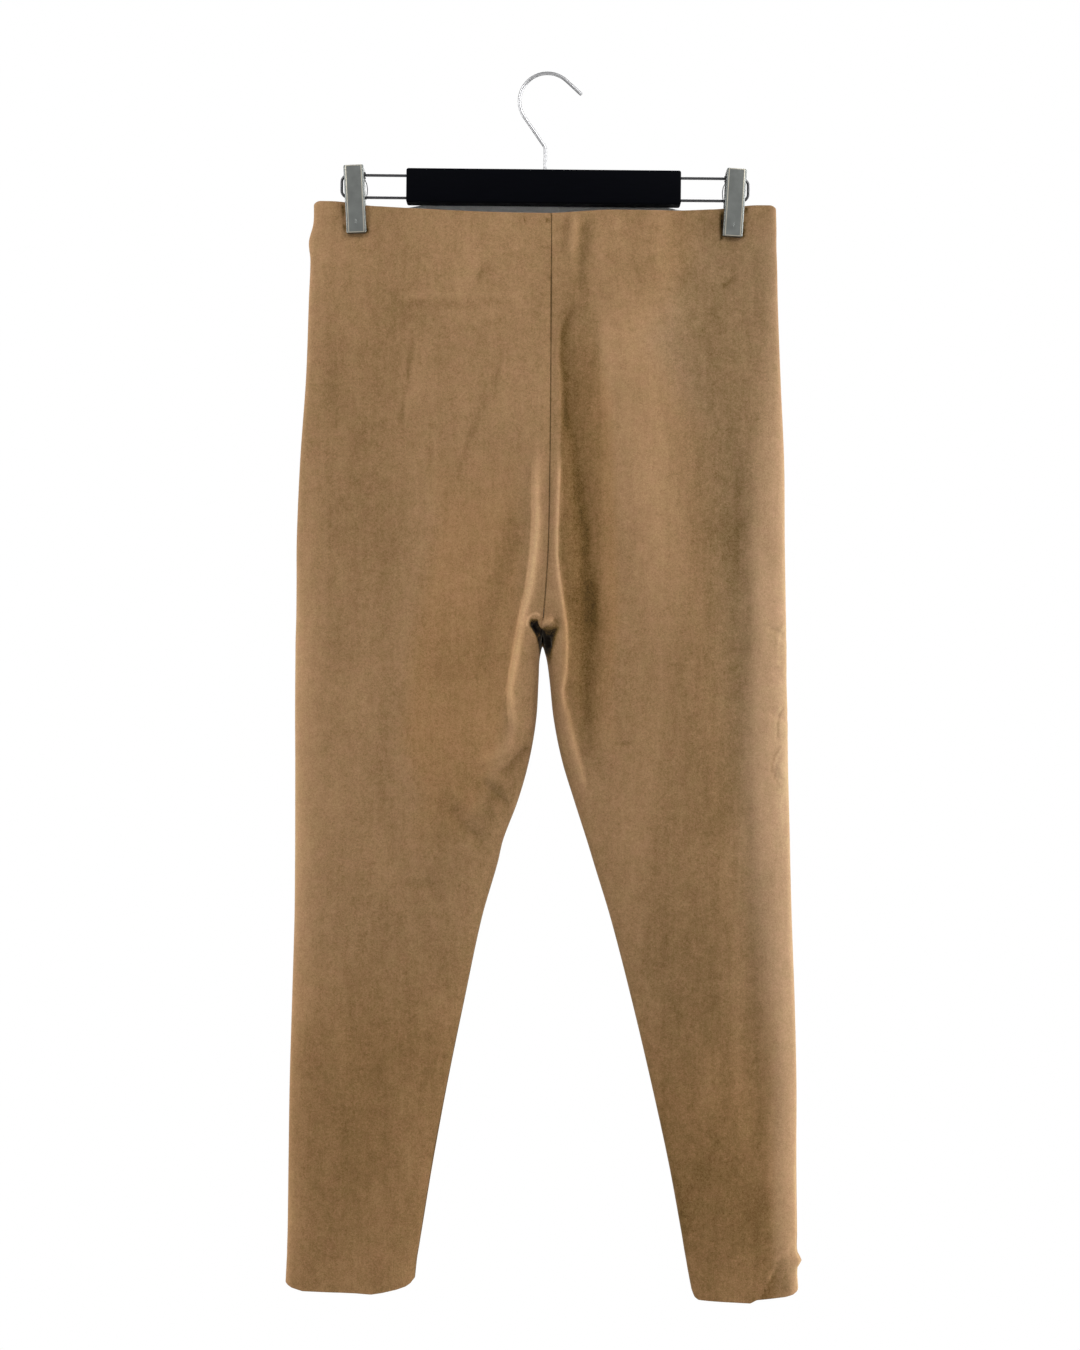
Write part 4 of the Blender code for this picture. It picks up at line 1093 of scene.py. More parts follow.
    def pinch(self, x: Array, level: Array) -> Array:
        """Return where the jaws hold the cloth flat.

        Args:
            x: Places across.
            level: Levels.

        Returns:
            1 between the jaws, falling to 0 away from them.
        """
        side = (np.abs(np.abs(x) - self.clip_x) - self.pinch_flat) / self.pinch_reach
        down = (self.pinch_low_z - level) / (self.pinch_low_z - self.pinch_end_z)
        return (1.0 - smooth(side)) * (1.0 - smooth(down))

    def blunt(self, distance: Array) -> Array:
        """Return the height of a blunt rounded edge at a distance of 0 to 1 from it."""
        power = self.edge_exponent
        return (1.0 - (1.0 - np.clip(distance, 0, 1)) ** power) ** (1.0 / power)

    def edge_height(self, hand: Hand, front: Array, x: Array, outer_gap: Array,
                    inner_gap: Array, level: Array) -> Array:
        """Return the heights: the waist edge dips or lifts, and the hem's corners rise.

        Args:
            hand: The leg.
            front: Where the cloth is on the front side.
            x: Places across.
            outer_gap: Distance from the outer fold.
            inner_gap: Distance from the inner edge.
            level: Levels before the edges are shaped.

        Returns:
            The heights.
        """
        far = np.abs(x)
        middle = 1.0 - np.clip(far / self.waist_span, 0, 1) ** 2
        between = 1.0 - smooth((far - self.waist_span) / (2 * (self.clip_x - self.waist_span)))
        most = self.waist_under_bar + (self.waist_dip - self.waist_under_bar) * (
            1.0 - smooth(x / self.under_bar_x))
        curve = np.where(front, -np.minimum(self.waist_dip * middle, most),
                         self.waist_lift * middle) - self.waist_step * between
        corner = self.corner_drop * (1.0 - np.clip(outer_gap / self.corner_reach, 0, 1)) ** 2
        top = np.clip(1.0 - (self.waist_z - level) / self.waist_ease, 0, 1)
        low = np.clip(1.0 - (level - self.sections[-1][0]) / self.hem_ease, 0, 1)
        rise = np.interp(inner_gap, *np.array(self.hems[hand]).T)
        return level + top * (curve - corner) + low * low * rise

    def ring(self, hand: Hand, around: Array, level: Array) -> Ring:
        """Return one leg and its half of the torso.

        Args:
            hand: The leg.
            around: Place round the ring for each level and column: 0 at the inner edge, over
                the front to 1 at the outer fold, and over the back to 2 at the inner edge.
            level: Levels, one for each row of around.

        Returns:
            The ring.
        """
        left, left_inner, right_inner, right, front_depth, back_depth = (
            self.rows(level).T[..., None])
        level = level[:, None]
        middle = (left_inner + right_inner) / 2
        inner, outer = (left_inner, left) if hand is Hand.LEFT else (right_inner, right)
        inner = np.where(level >= self.crotch_z, middle, inner)
        front = ((around >= 0) & (around <= 1)) | (around > 2)
        share = np.abs(around - 2 * np.round(around / 2))
        start = inner + hand.value * self.half_gap
        x = start + (outer - start) * share
        far, width = np.abs(x), np.abs(outer - inner)
        outer_gap, inner_gap = (1.0 - share) * width, share * width
        half = width / 2
        reach = self.valley_width + (half - self.valley_width) * smooth(
            (self.crotch_top_z - level) / (self.crotch_top_z - self.valley_reach_z))
        torso = self.torso_share(level)
        outer_reach = half + half * np.clip(
            (level - self.valley_reach_z) / self.rounding_ease, 0, 1)
        form = self.blunt(outer_gap / outer_reach) * (
            torso + (1.0 - torso) * self.blunt(inner_gap / reach))
        depth = np.where(front, front_depth, back_depth)
        pinched = self.pinch(x, level)
        round_edge = quarter(outer_gap, self.flat_half) * (
            torso + (1.0 - torso) * quarter(inner_gap, self.flat_half))
        y = self.flat_half * round_edge + form * (depth - self.flat_half) * (1.0 - pinched)
        behind = (1.0 - smooth((far - self.behind_half) / self.behind_ease)) * ~front
        y = y + np.maximum(self.behind_bar - y, 0.0) * behind * smooth(
            1.0 - (self.waist_z - level) / self.behind_height)
        y = np.where(front, -y, y)
        raised = (1.0 - smooth((far - self.rise_half) / self.rise_ease)) * ~front
        z = self.edge_height(hand, front, x, outer_gap, inner_gap, level)
        z = z + self.behind_rise * raised * np.clip(
            1.0 - (self.waist_z - level) / self.rise_height, 0, 1)
        closed = smooth((self.crotch_top_z - level) / 6) * smooth((level - self.closed_z) / 8 + 1)
        deep = smooth((y + 3.0) / 7.0) * (1.0 - smooth(inner_gap / self.crotch_width))
        pressed = (middle - inner - hand.value * self.crotch_press) * closed * deep
        level, torso = (np.broadcast_to(values, x.shape) for values in (level, torso))
        return Ring(np.stack([x + pressed, y, z], axis=-1), x, level, front, outer_gap,
                    inner_gap, pinched, torso, form)


@dataclass
class Leggings:
    """The garment: two fronts and two backs, each a thin shell with its creases."""

    wardrobe: Wardrobe
    form: HangingForm = field(default_factory=HangingForm)
    columns: int = 132
    row_steps: tuple[Place, ...] = ((-340.0, 3.7), (-470.0, 2.4), (-506.0, 0.9), (-640.0, 2.4),
                                    (-1071.4, 4.0))   # down to each level, the rows' distance
    edge_rows: tuple[float, ...] = (0.0, 0.15, 0.45, 0.9, 1.6, 2.8, 4.6)
    edge_round: float = 0.9
    edge_thin: float = 0.5        # how much each face draws in at a raw edge
    seam_round: float = 1.2
    seam_depth: float = 0.85
    seam_gap: float = 0.06
    seam_lap: float = 0.3         # how far the allowances press into each other at the centre
    inseam_shift: float = 3.2     # how far onto the front the low end of the left inseam lies
    outseam_shift: float = -1.2   # how far onto the front the outseams lie
    outseam_turn: float = 4.6     # how much further the low end of the right one lies
    allowance_reach: float = 7.0  # the seam allowances inside
    allowance_depth: float = 0.8
    allowance_ease: float = 1.2
    fold_ease: float = 16.0       # the creases set in over this, from the outer fold
    inner_ease: float = 9.0       # and over this from the legs' inner edges
    fold_highlight: float = 0.28        # how light the painted highlight on the outer fold itself is
    inner_shade: float = 0.10     # how dark the painted shade on the inner edges is
    edge_tone_width: float = 3.0
    crease_shading: float = 0.034           # painted light on ridges and painted shade in troughs: how much lighter for each millimetre of a crease's height
    crease_shading_limits: Place = (-0.24, 0.16)
    centre_line: float = 0.42     # how dark each seam's line is
    inseam_line: float = 0.12
    strip_line: float = 0.62      # what the low end of the left inseam adds
    outseam_line: float = 0.18
    turned_highlight: float = 0.26    # how light the painted highlight on the turned edge of the right outseam is
    cut_width: float = 0.226      # in metres, as the sheets' flat sizes are given
    cut_length: float = 0.972

    def levels(self) -> Array:
        """Place the rows, closer together at both raw edges.

        Returns:
            The levels of the rows.
        """
        top, low = self.form.waist_z, self.form.sections[-1][0]
        edge = np.array(self.edge_rows)
        starts = [top - edge[-1]] + [end for end, _ in self.row_steps]
        inside = [np.linspace(start, end, round((start - end) / step), endpoint=False)
                  for start, (end, step) in zip(starts, self.row_steps)]
        return np.concatenate([top - edge[:-1], *inside, (low + edge)[::-1]])

    def seam_shifts(self, hand: Hand, level: Array) -> tuple[Array, Array]:
        """Return how far onto the front a leg's seams lie.

        Args:
            hand: The leg.
            level: Levels of the rows.

        Returns:
            The distances of the inseam and of the outseam at each level.
        """
        outer = self.outseam_shift * smooth((-160 - level) / 60)
        if hand is Hand.LEFT:
            wave = 0.8 + 0.2 * np.sin(level / 40)
            return self.inseam_shift * smooth((-735 - level) / 60) * wave, outer
        back = 1 - 0.3 * smooth((-1040 - level) / 20)
        return (-0.8 * smooth((-620 - level) / 80),
                outer + self.outseam_turn * smooth((-905 - level) / 45) * back)

    def columns_round(self, side: Side, hand: Hand, level: Array) -> Array:
        """Return where a panel's columns lie, closer together at its seams and folds.

        Args:
            side: The panel's side.
            hand: The panel's leg.
            level: Levels of the rows.

        Returns:
            Three tables of rows and columns: the places round the ring, and the distances from
            the panel's inner seam and from its outer seam.
        """
        t = np.linspace(0.0, 1.0, 260)
        dense = t ** 3 / (t ** 3 + (1 - t) ** 3)
        short = dense[dense < 0.2]
        fine = np.concatenate([-short[:0:-1], dense, 1 + dense[1:], 2 + short[1:]])
        ring = self.form.ring(hand, np.repeat(fine[None], len(level), axis=0), level)
        steps = np.linalg.norm(np.diff(ring.points[..., :2], axis=1), axis=2)
        half_gap, rows = self.seam_gap / 2, []
        for step, inner, outer in zip(steps, *self.seam_shifts(hand, level)):
            run = np.concatenate([[0.0], np.cumsum(step)])
            first_fold, outer_fold, last_fold = np.interp([0.0, 1.0, 2.0], fine, run)
            if side is Side.FRONT:
                start, end = first_fold + inner + half_gap, outer_fold - outer - half_gap
                seam, inner_fold = start, first_fold
            else:
                start, end = outer_fold - outer + half_gap, last_fold + inner - half_gap
                seam, inner_fold = end, last_fold
            pulls = ((5, start, 2.5), (5, end, 2.5), (4, seam, 30.0), (2.2, outer_fold, 9.0),
                     (3, inner_fold, 3.5))      # strength, place, reach
            weight = sum((pull * np.exp(-np.abs(run - place) / reach)
                          for pull, place, reach in pulls), 1.0)
            cost = np.concatenate([[0.0], np.cumsum((weight[1:] + weight[:-1]) / 2
                                                    * np.diff(run))])
            low, high = np.interp([start, end], run, cost)
            place = np.interp(np.linspace(low, high, self.columns + 1), cost, run)
            gaps = (place - start, end - place)[::-side.value]      # the inner seam's first
            rows.append((np.interp(place, run, fine), *gaps))
        return np.array(rows).transpose(1, 0, 2)

    def crease_height(self, ring: Ring) -> Array:
        """Return how far the creases and swells lift the cloth, in millimetres.

        Args:
            ring: Places on the form.

        Returns:
            The height at each place.
        """
        inner_ease = np.where(ring.torso > 0.5, 1.0, smooth(ring.inner_gap / self.inner_ease))
        ease = smooth(ring.outer_gap / self.fold_ease) * inner_ease * (1.0 - ring.pinch)
        front, back = (
            total([crease for crease in creases if not crease.over_fold], ring.x, ring.level)
            * ease + total([crease for crease in creases if crease.over_fold], ring.x, ring.level)
            for creases in (FRONT_CREASES, BACK_CREASES))
        across = ring.x + np.where(ring.front, 0.0, 500.0)
        swell = sum(size * ripple(across, ring.level, cell, seed) for size, cell, seed in SWELLS)
        return np.where(ring.front, front, back) + swell * ease * smooth(ring.form * 1.3)

    def nap_and_painted_light(self, ring: Ring, height: Array) -> Array:
        """Return how much lighter or darker the nap is, with its painted light and shade, 0 where
        it is even.

        Args:
            ring: Places on the form.
            height: The creases' heights.

        Returns:
            The tone at each place.
        """
        x, level = ring.x, ring.level
        # painted highlights on the outer folds, and painted shade on the legs' inner edges
        rim = np.where(x > 0, np.interp(-level, *RIGHT_RIM), np.interp(-level, *LEFT_RIM))
        rubbed = (rim * np.exp(-(ring.outer_gap / self.fold_ease) ** 1.5)
                  + self.fold_highlight * np.exp(-(ring.outer_gap / self.edge_tone_width) ** 1.5)
                  - self.inner_shade * np.exp(-ring.inner_gap / self.edge_tone_width)
                  * (1.0 - ring.torso))
        brushed = sum(size * ripple(x, level, cell, seed) for size, cell, seed in BRUSHING)
        # ridges are painted lighter and troughs darker
        crease_shading = np.clip(self.crease_shading * height, *self.crease_shading_limits)
        return np.where(ring.front, total(FRONT_MARKS + FRONT_PATCHES, x, level),
                        total(BACK_MARKS, x, level)) + rubbed + brushed + crease_shading

    def seam_tone(self, side: Side, hand: Hand, ring: Ring, inner: Array, outer: Array
                  ) -> Array:
        """Return how the nap darkens in the seams, with a painted highlight on the turned right
        outseam.

        Args:
            side: The panel's side.
            hand: The panel's leg.
            ring: Places on the form.
            inner: Distance from the panel's inner seam.
            outer: Distance from its outer seam.

        Returns:
            The tone at each place.
        """
        level, torso = ring.level, ring.torso > 0.02
        opened = smooth((-174 - level) / 8) * smooth((level + 250) / 40)
        strip = smooth((-700 - level) / 60) if hand is Hand.LEFT else 0.0
        line = np.where(torso, self.centre_line + 0.10 * opened * ring.front,
                        self.inseam_line + self.strip_line * strip)
        tone = (-line * np.exp(-(inner / (0.55 + 0.1 * opened * torso)) ** 2)
                - self.outseam_line * np.exp(-(outer / 0.8) ** 2))
        # a painted highlight along the turned edge of the right outseam
        if side is Side.FRONT and hand is Hand.RIGHT:
            tone += (self.turned_highlight * np.exp(-((outer - 1.7) / 1.1) ** 2)
                     * smooth((-880 - level) / 90))
        return tone

    def seam_drop(self, distance: Array, level: Array, centre: Array | float) -> Array:
        """Return how far the cloth turns in at a seam, in millimetres.

        Args:
            distance: Distance from the seam.
            level: Levels.
            centre: 1 at the centre seams and 0 at the others.

        Returns:
            The drop at each place.
        """
        pull = 1.0 + 0.12 * np.sin(level / 5.3) + 0.10 * np.sin(level / 2.9 + 1.0)
        opened = 0.3 * (smooth((-176 - level) / 8) * smooth((level + 245) / 40)) * centre
        return (self.seam_depth + opened) * pull * (
            1.0 - quarter(distance, self.seam_round + opened))

    def make_panel(self, side: Side, hand: Hand) -> Piece:
        """Make one cut panel.

        Args:
            side: Front or back.
            hand: Left or right.

        Returns:
            The panel's piece.
        """
        level = self.levels()
        around, inner, outer = self.columns_round(side, hand, level)
        ring = self.form.ring(hand, around, level)
        normal = np.cross(*np.gradient(ring.points, axis=(0, 1)))
        normal /= np.maximum(np.linalg.norm(normal, axis=2, keepdims=True), 1e-9)
        if normal[len(level) // 3, self.columns // 2, 1] * side.value < 0:
            normal = -normal
        height = self.crease_height(ring)
        # the nap's own tone together with painted light and shade, which the 'nap' attribute
        # carries
        tone = self.nap_and_painted_light(ring, height) + self.seam_tone(side, hand, ring, inner, outer)
        gold = 0.5 + 0.5 * total(FRONT_HUES, ring.x, ring.level) * ring.front
        seam = (self.seam_drop(inner, ring.level, ring.torso > 0.02)
                + self.seam_drop(outer, ring.level, 0.0))
        to_edge = np.minimum(level[0] - level, level - level[-1])[:, None]
        thin = self.edge_thin * (1.0 - quarter(to_edge, self.edge_round))
        allowance = sum(smooth((self.allowance_reach - gap) / self.allowance_ease)
                        for gap in (inner, outer))
        allowance = (self.allowance_depth * allowance * (1.0 - ring.pinch)
                     * smooth(ring.form * 2.0))
        outside = ring.points + normal * (height - seam - thin)[..., None]
        inside = ring.points + normal * (height - self.form.wall + thin - allowance)[..., None]
        closing = hand.value * smooth(1.0 - inner / 2.5) * ring.torso * self.seam_lap
        outside[..., 0] -= closing * 0.5
        inside[..., 0] -= closing

        bm = bmesh.new()
        bmesh.ops.create_grid(bm, x_segments=self.columns, y_segments=len(level) - 1, size=0.5)
        suede = set(bm.faces)
        made = set(bmesh.ops.extrude_face_region(bm, geom=bm.faces[:],
                                                 use_keep_orig=True)["geom"])
        bmesh.ops.translate(bm, vec=(0, 0, 1), verts=[
            item for item in made if isinstance(item, Vertex)])
        for face in bm.faces:
            face.material_index = 0 if face in suede else 1 if face in made else 2
        # the 'nap' attribute carries painted light and shade besides the nap's tone
        tones, golds = (bm.verts.layers.float.new(key) for key in ("nap", "gold"))
        for vert in bm.verts:
            place = (round((0.5 - vert.co.y) * (len(level) - 1)),
                     round((vert.co.x + 0.5) * self.columns))
            vert[tones], vert[golds] = tone[place], gold[place]
            vert.co = (inside if vert.co.z > 0.5 else outside)[place]
        bmesh.ops.recalc_face_normals(bm, faces=bm.faces)
        node = f"{side.word}_{hand.word}"
        cloth = link_mesh(bm, f"{node}_cloth", self.wardrobe.suede, self.wardrobe.backing,
                          self.wardrobe.raw_edge, sharp=False)
        return finish_piece(cloth, node)

    def make(self, jaws: dict[Hand, list[Piece]]) -> None:
        """Make the four panels.

        Args:
            jaws: The clip jaws that hold each hand's panels; not used.
        """
        for side in Side:
            for hand in Hand:
                piece = self.make_panel(side, hand)


# ---------------------------------------------------------------------------------------------
# The hanger


@dataclass
class Hanger:
    """The clip hanger: bar, hook, two sliding wire loops and two sprung clips."""

    wardrobe: Wardrobe
    bar_x: float = -1.2
    bar_length: float = 241.0
    bar_depth: float = 16.0
    bar_top: float = -84.5
    bar_low: float = -114.5
    bar_round: float = 1.8
    cap_border: float = 1.4
    cap_sunk: float = 0.6
    wire_sides: int = 20
    rod_radius: float = 1.2
    rod_upper: float = -89.8
    rod_lower: float = -109.4
    rod_outer: float = 180.0
    rod_bend: float = 6.0
    rod_in_bar: float = 6.0
    hook_radius: float = 1.5
    hook_bow: float = 24.6
    hook_x: float = 1.5
    stem_z: float = -63.8
    stem_in_bar: float = 4.0
    neck_bend: float = 7.0
    tip_angle: float = math.radians(42)
    tip_length: float = 18.0
    clip_centre: Place = (167.1, -101.5)
    clip_top: float = 18.9
    clip_low: float = -40.1
    clip_width: float = 17.6
    clip_lean: float = math.radians(3.0)
    jaw_edge: float = 1.85
    jaw_top_depth: float = 9.4
    jaw_low_depth: float = 6.4
    jaw_wall: float = 0.9
    jaw_corner: float = 1.6
    jaw_round: float = 0.7
    jaw_rubbed: float = 0.45      # width of the painted highlight along the face's edge
    rib_size: Triple = (0.8, 0.26, 3.2)
    rib_place: Place = (-0.42, 10.5)        # from the low end of the jaw's face
    pin_z: float = 1.8            # above the clip's centre
    pin_radius: float = 1.3
    pin_proud: float = 0.6
    pin_round: float = 0.35
    spring_radius: float = 3.0
    spring_wire: float = 0.55
    spring_turns: int = 6
    spring_pitch: float = 1.5
    turn_steps: int = 20
    leg_length: float = 13.0
    leg_place: Place = (3.6, 8.2)
    leg_tilt: float = math.radians(17.0)
    catch_gap: float = 0.4
    catch_y: float = -3.4
    catch_wire: float = 0.38
    catch_knobs: tuple[Place, ...] = ((12.2, 1.15), (8.0, 1.0))     # height and radius
    catch_line: tuple[Place, ...] = ((0.0, 6.6), (1.5, 2.6), (2.0, -1.6), (1.5, -6.0),
                                     (0.3, -10.8))

    def make_wire(self, name: str, points: list[Place], radius: float, node: str) -> None:
        """Make a round wire along points in the XZ plane.

        Args:
            name: The piece's name.
            points: Its centre line.
            radius: The wire's radius.
            node: The CAD node that it stands for.
        """
        bm = bmesh.new()
        ring = bmesh.ops.create_circle(bm, cap_ends=True, segments=self.wire_sides,
                                       radius=radius)["verts"]
        line = [Vector((x, 0.0, z)) for x, z in points]
        turn = Vector((0, 0, 1)).rotation_difference((line[1] - line[0]).normalized())
        bmesh.ops.transform(bm, matrix=Matrix.Translation(line[0]) @ turn.to_matrix().to_4x4(),
                            verts=ring)
        face = bm.faces[:][0]
        for start, end, after in zip(line, line[1:], line[2:] + line[-1:]):
            ahead = (end - start).normalized()
            cut = (ahead + (after - end).normalized()).normalized()
            face = bmesh.ops.extrude_discrete_faces(bm, faces=[face])["faces"][0]
            for vert in face.verts:
                vert.co += ahead * ((end - vert.co).dot(cut) / ahead.dot(cut))
        bmesh.ops.recalc_face_normals(bm, faces=bm.faces)
        metal = self.wardrobe.chrome if node == "hanger_hook" else self.wardrobe.dark_wire
        finish_piece(link_mesh(bm, name, metal), node)

    def hook_line(self) -> list[Place]:
        """Draw the hook: stem, neck, bow and straight tip.

        Returns:
            The centre line.
        """
        centre_z = self.hook_radius - self.hook_bow
        to_centre = Vector((self.hook_x, centre_z - self.stem_z))
        lean = (math.asin(self.hook_bow / to_centre.length)
                - math.atan2(to_centre.x, to_centre.y))
        trim = self.neck_bend * math.tan(lean / 2)
        neck = arc((-self.neck_bend, self.stem_z - trim), self.neck_bend, 0.0, lean, 10)
        bow = arc((self.hook_x, centre_z), self.hook_bow, math.pi + lean,
                  math.pi / 2 - self.tip_angle, 72)
        tip = (bow[-1][0] + self.tip_length * math.cos(self.tip_angle),
               bow[-1][1] - self.tip_length * math.sin(self.tip_angle))
        return [(0.0, self.bar_top - self.stem_in_bar), *neck, *bow, tip]

    def loop_line(self, hand: Hand) -> list[Place]:
        """Draw one wire loop: out of the bar, round and back.

        Args:
            hand: The side on which it lies.

        Returns:
            The centre line.
        """
        out = hand.value
        end = self.bar_x + out * (self.bar_length / 2 - self.rod_in_bar)
        corner = self.rod_outer - self.rod_radius - self.rod_bend
        upper = arc((corner, self.rod_upper - self.rod_bend), self.rod_bend, math.pi / 2, 0, 12)
        lower = arc((corner, self.rod_lower + self.rod_bend), self.rod_bend, 0, -math.pi / 2, 12)
        bend = [(out * x, z) for x, z in upper + lower]
        return [(end, self.rod_upper), *bend, (end, self.rod_lower)]

    def clip_piece(self, bm: Shape, hand: Hand, name: str, node: str | None = None) -> Piece:
        """Bring a part of a clip to its place, leaning outwards at the top, and finish it.

        Args:
            bm: The part, made round the clip's centre.
            hand: The clip.
            name: The part's name.
            node: The CAD node's own word, if it stands for one.

        Returns:
            The piece.
        """
        centre = Vector((hand.value * self.clip_centre[0], 0, self.clip_centre[1]))
        lean = Matrix.Rotation(hand.value * self.clip_lean, 4, "Y")
        bmesh.ops.transform(bm, matrix=Matrix.Translation(centre) @ lean, verts=bm.verts)
        metal = self.wardrobe.steel if node else self.wardrobe.dark_wire
        piece = link_mesh(bm, f"clip_{hand.word}_{name}", metal)
        return finish_piece(piece, node and f"clip_{hand.word}_{node}")

    def make_jaw(self, hand: Hand, side: Side) -> Piece:
        """Make one pressed jaw: a shallow tray with rounded corners and an embossed rib.

        Args:
            hand: The clip.
            side: The jaw.

        Returns:
            The piece.
        """
        bm = bmesh.new()
        rubbed = bm.verts.layers.float.new("rubbed")
        bmesh.ops.create_cube(bm, size=1.0)
        for vert in bm.verts:
            height, depth = ((self.clip_top, self.jaw_top_depth) if vert.co.z > 0
                             else (self.clip_low, self.jaw_low_depth))
            vert.co = Vector((vert.co.x * self.clip_width,
                              -depth if vert.co.y < 0 else -self.jaw_edge, height))
        corners = [edge for edge in bm.edges
                   if abs(edge.verts[0].co.y - edge.verts[1].co.y) > self.jaw_wall]
        round_edges(bm, corners, self.jaw_corner)
        front = min(bm.faces, key=lambda face: face.calc_center_median().y)
        round_edges(bm, [edge for edge in bm.edges if edge in front.edges], self.jaw_round)
        broad = sorted(bm.faces, key=lambda face: face.calc_area())[-2:]
        front, back = sorted(broad, key=lambda face: face.calc_center_median().y)
        # a thin ring round the face and the rim's first rounds carry a painted highlight
        bmesh.ops.inset_region(bm, faces=[front], thickness=self.jaw_rubbed,
                               use_even_offset=True)
        slope = (self.jaw_top_depth - self.jaw_low_depth) / (self.clip_top - self.clip_low)
        for vert in bm.verts:
            behind = vert.co.y + self.jaw_low_depth + slope * (vert.co.z - self.clip_low)
            vert[rubbed] = float(vert not in front.verts[:] and behind < 0.1 * self.jaw_round)
        bmesh.ops.delete(bm, geom=[back], context="FACES_ONLY")
        bmesh.ops.recalc_face_normals(bm, faces=bm.faces)
        bmesh.ops.solidify(bm, geom=bm.faces[:], thickness=self.jaw_wall)
        rib = bmesh.ops.create_uvsphere(bm, u_segments=16, v_segments=10, radius=1.0)["verts"]
        place = Matrix.Translation((0, self.rib_place[0] - self.jaw_low_depth,
                                    self.clip_low + self.rib_place[1]))
        bmesh.ops.transform(bm, matrix=place @ Matrix.Diagonal((*self.rib_size, 1.0)), verts=rib)
        if side is Side.BACK:
            bmesh.ops.scale(bm, vec=(1, -1, 1), verts=bm.verts)
            bmesh.ops.reverse_faces(bm, faces=bm.faces[:])
        return self.clip_piece(bm, hand, f"{side.word}_jaw", side.word)

    def make_pin(self, hand: Hand) -> None:
        """Make a clip's pivot pin with its riveted ends.

        Args:
            hand: The clip.
        """
        bm = bmesh.new()
        add_rod(bm, self.pin_radius, self.clip_width + self.pin_proud, sides=24)
        ends = [edge for edge in bm.edges
                if len({round(vert.co.z, 3) for vert in edge.verts}) == 1]
        round_edges(bm, ends, self.pin_round, segments=3)
        bmesh.ops.rotate(bm, cent=(0, 0, 0), matrix=Matrix.Rotation(math.pi / 2, 3, "Y"),
                         verts=bm.verts)
        bmesh.ops.translate(bm, vec=(0, 0, self.pin_z), verts=bm.verts)
        self.clip_piece(bm, hand, "pivot", "pin")

    def make_spring(self, hand: Hand) -> None:
        """Make a clip's coil spring round the pin, with the leg that bears on each jaw.

        Args:
            hand: The clip.
        """
        bm = bmesh.new()
        half = self.spring_turns * self.spring_pitch / 2
        wire = bmesh.ops.create_circle(bm, cap_ends=False, segments=10,
                                       radius=self.spring_wire)["verts"]
        place = Matrix.Translation((-half, 0, self.spring_radius))
        bmesh.ops.transform(bm, matrix=place @ Matrix.Rotation(math.pi / 2, 4, "X"), verts=wire)
        bmesh.ops.spin(bm, geom=wire + bm.edges[:], cent=(0, 0, 0), axis=(1, 0, 0),
                       angle=math.tau * self.spring_turns,
                       steps=self.turn_steps * self.spring_turns,
                       dvec=(self.spring_pitch / self.turn_steps, 0, 0), use_merge=False)
        for x, lean in ((-half, -1), (half, 1)):
            leg = add_rod(bm, self.spring_wire, self.leg_length)
            place = Matrix.Translation((x, lean * self.leg_place[0], self.leg_place[1]))
            bmesh.ops.transform(bm, matrix=place @ Matrix.Rotation(-lean * self.leg_tilt, 4, "X"),
                                verts=leg)
        bmesh.ops.holes_fill(bm, edges=bm.edges[:], sides=12)
        bmesh.ops.recalc_face_normals(bm, faces=bm.faces)
        bmesh.ops.translate(bm, vec=(0, 0, self.pin_z), verts=bm.verts)
        self.clip_piece(bm, hand, "coil", "spring")

    def make_catch(self, hand: Hand) -> None:
        """Make the dark wire catch on the inner side of a clip, with its two knobs.

        Args:
            hand: The clip.
        """
        bm = bmesh.new()
        side = -hand.value * (self.clip_width / 2 + self.catch_gap)
        for height, radius in self.catch_knobs:
            bmesh.ops.create_uvsphere(bm, u_segments=16, v_segments=10, radius=radius,
                                      matrix=Matrix.Translation((side, self.catch_y, height)))
        line = [Vector((side - hand.value * out, self.catch_y, height))
                for out, height in self.catch_line]
        for start, end in zip(line, line[1:]):
            run = end - start
            rod = add_rod(bm, self.catch_wire, run.length + self.catch_wire)
            turn = run.to_track_quat("Z", "Y").to_matrix().to_4x4()
            bmesh.ops.transform(bm, matrix=Matrix.Translation((start + end) / 2) @ turn,
                                verts=rod)
        self.clip_piece(bm, hand, "catch")

    def make_bar(self) -> None:
        """Make the moulded bar with its sunk end caps."""
        bm = bmesh.new()
        bmesh.ops.create_cube(bm, size=1.0)
        bmesh.ops.scale(bm, vec=(self.bar_length, self.bar_depth, self.bar_top - self.bar_low),
                        verts=bm.verts)
        round_edges(bm, bm.edges[:], self.bar_round)
        for face in [face for face in bm.faces if abs(face.normal.x) > 0.99]:
            bmesh.ops.inset_region(bm, faces=[face], thickness=self.cap_border,
                                   depth=-self.cap_sunk)
        bmesh.ops.translate(bm, vec=(self.bar_x, 0, (self.bar_top + self.bar_low) / 2),
                            verts=bm.verts)
        finish_piece(link_mesh(bm, "bar_moulding", self.wardrobe.bar), "hanger_bar")

    def make(self) -> dict[Hand, list[Piece]]:
        """Make all of the hanger.

        Returns:
            The jaws of each clip, which hold the cloth.
        """
        self.make_bar()
        self.make_wire("hook_wire", self.hook_line(), self.hook_radius, "hanger_hook")
        jaws: dict[Hand, list[Piece]] = {}
        for hand in Hand:
            self.make_wire(f"loop_{hand.word}_wire", self.loop_line(hand), self.rod_radius,
                           f"rod_{hand.word}")
            jaws[hand] = [self.make_jaw(hand, side) for side in Side]
            self.make_pin(hand)
            self.make_spring(hand)
            self.make_catch(hand)
        return jaws


# ---------------------------------------------------------------------------------------------
# The studio

WHITE = (1.0, 1.0, 1.0)


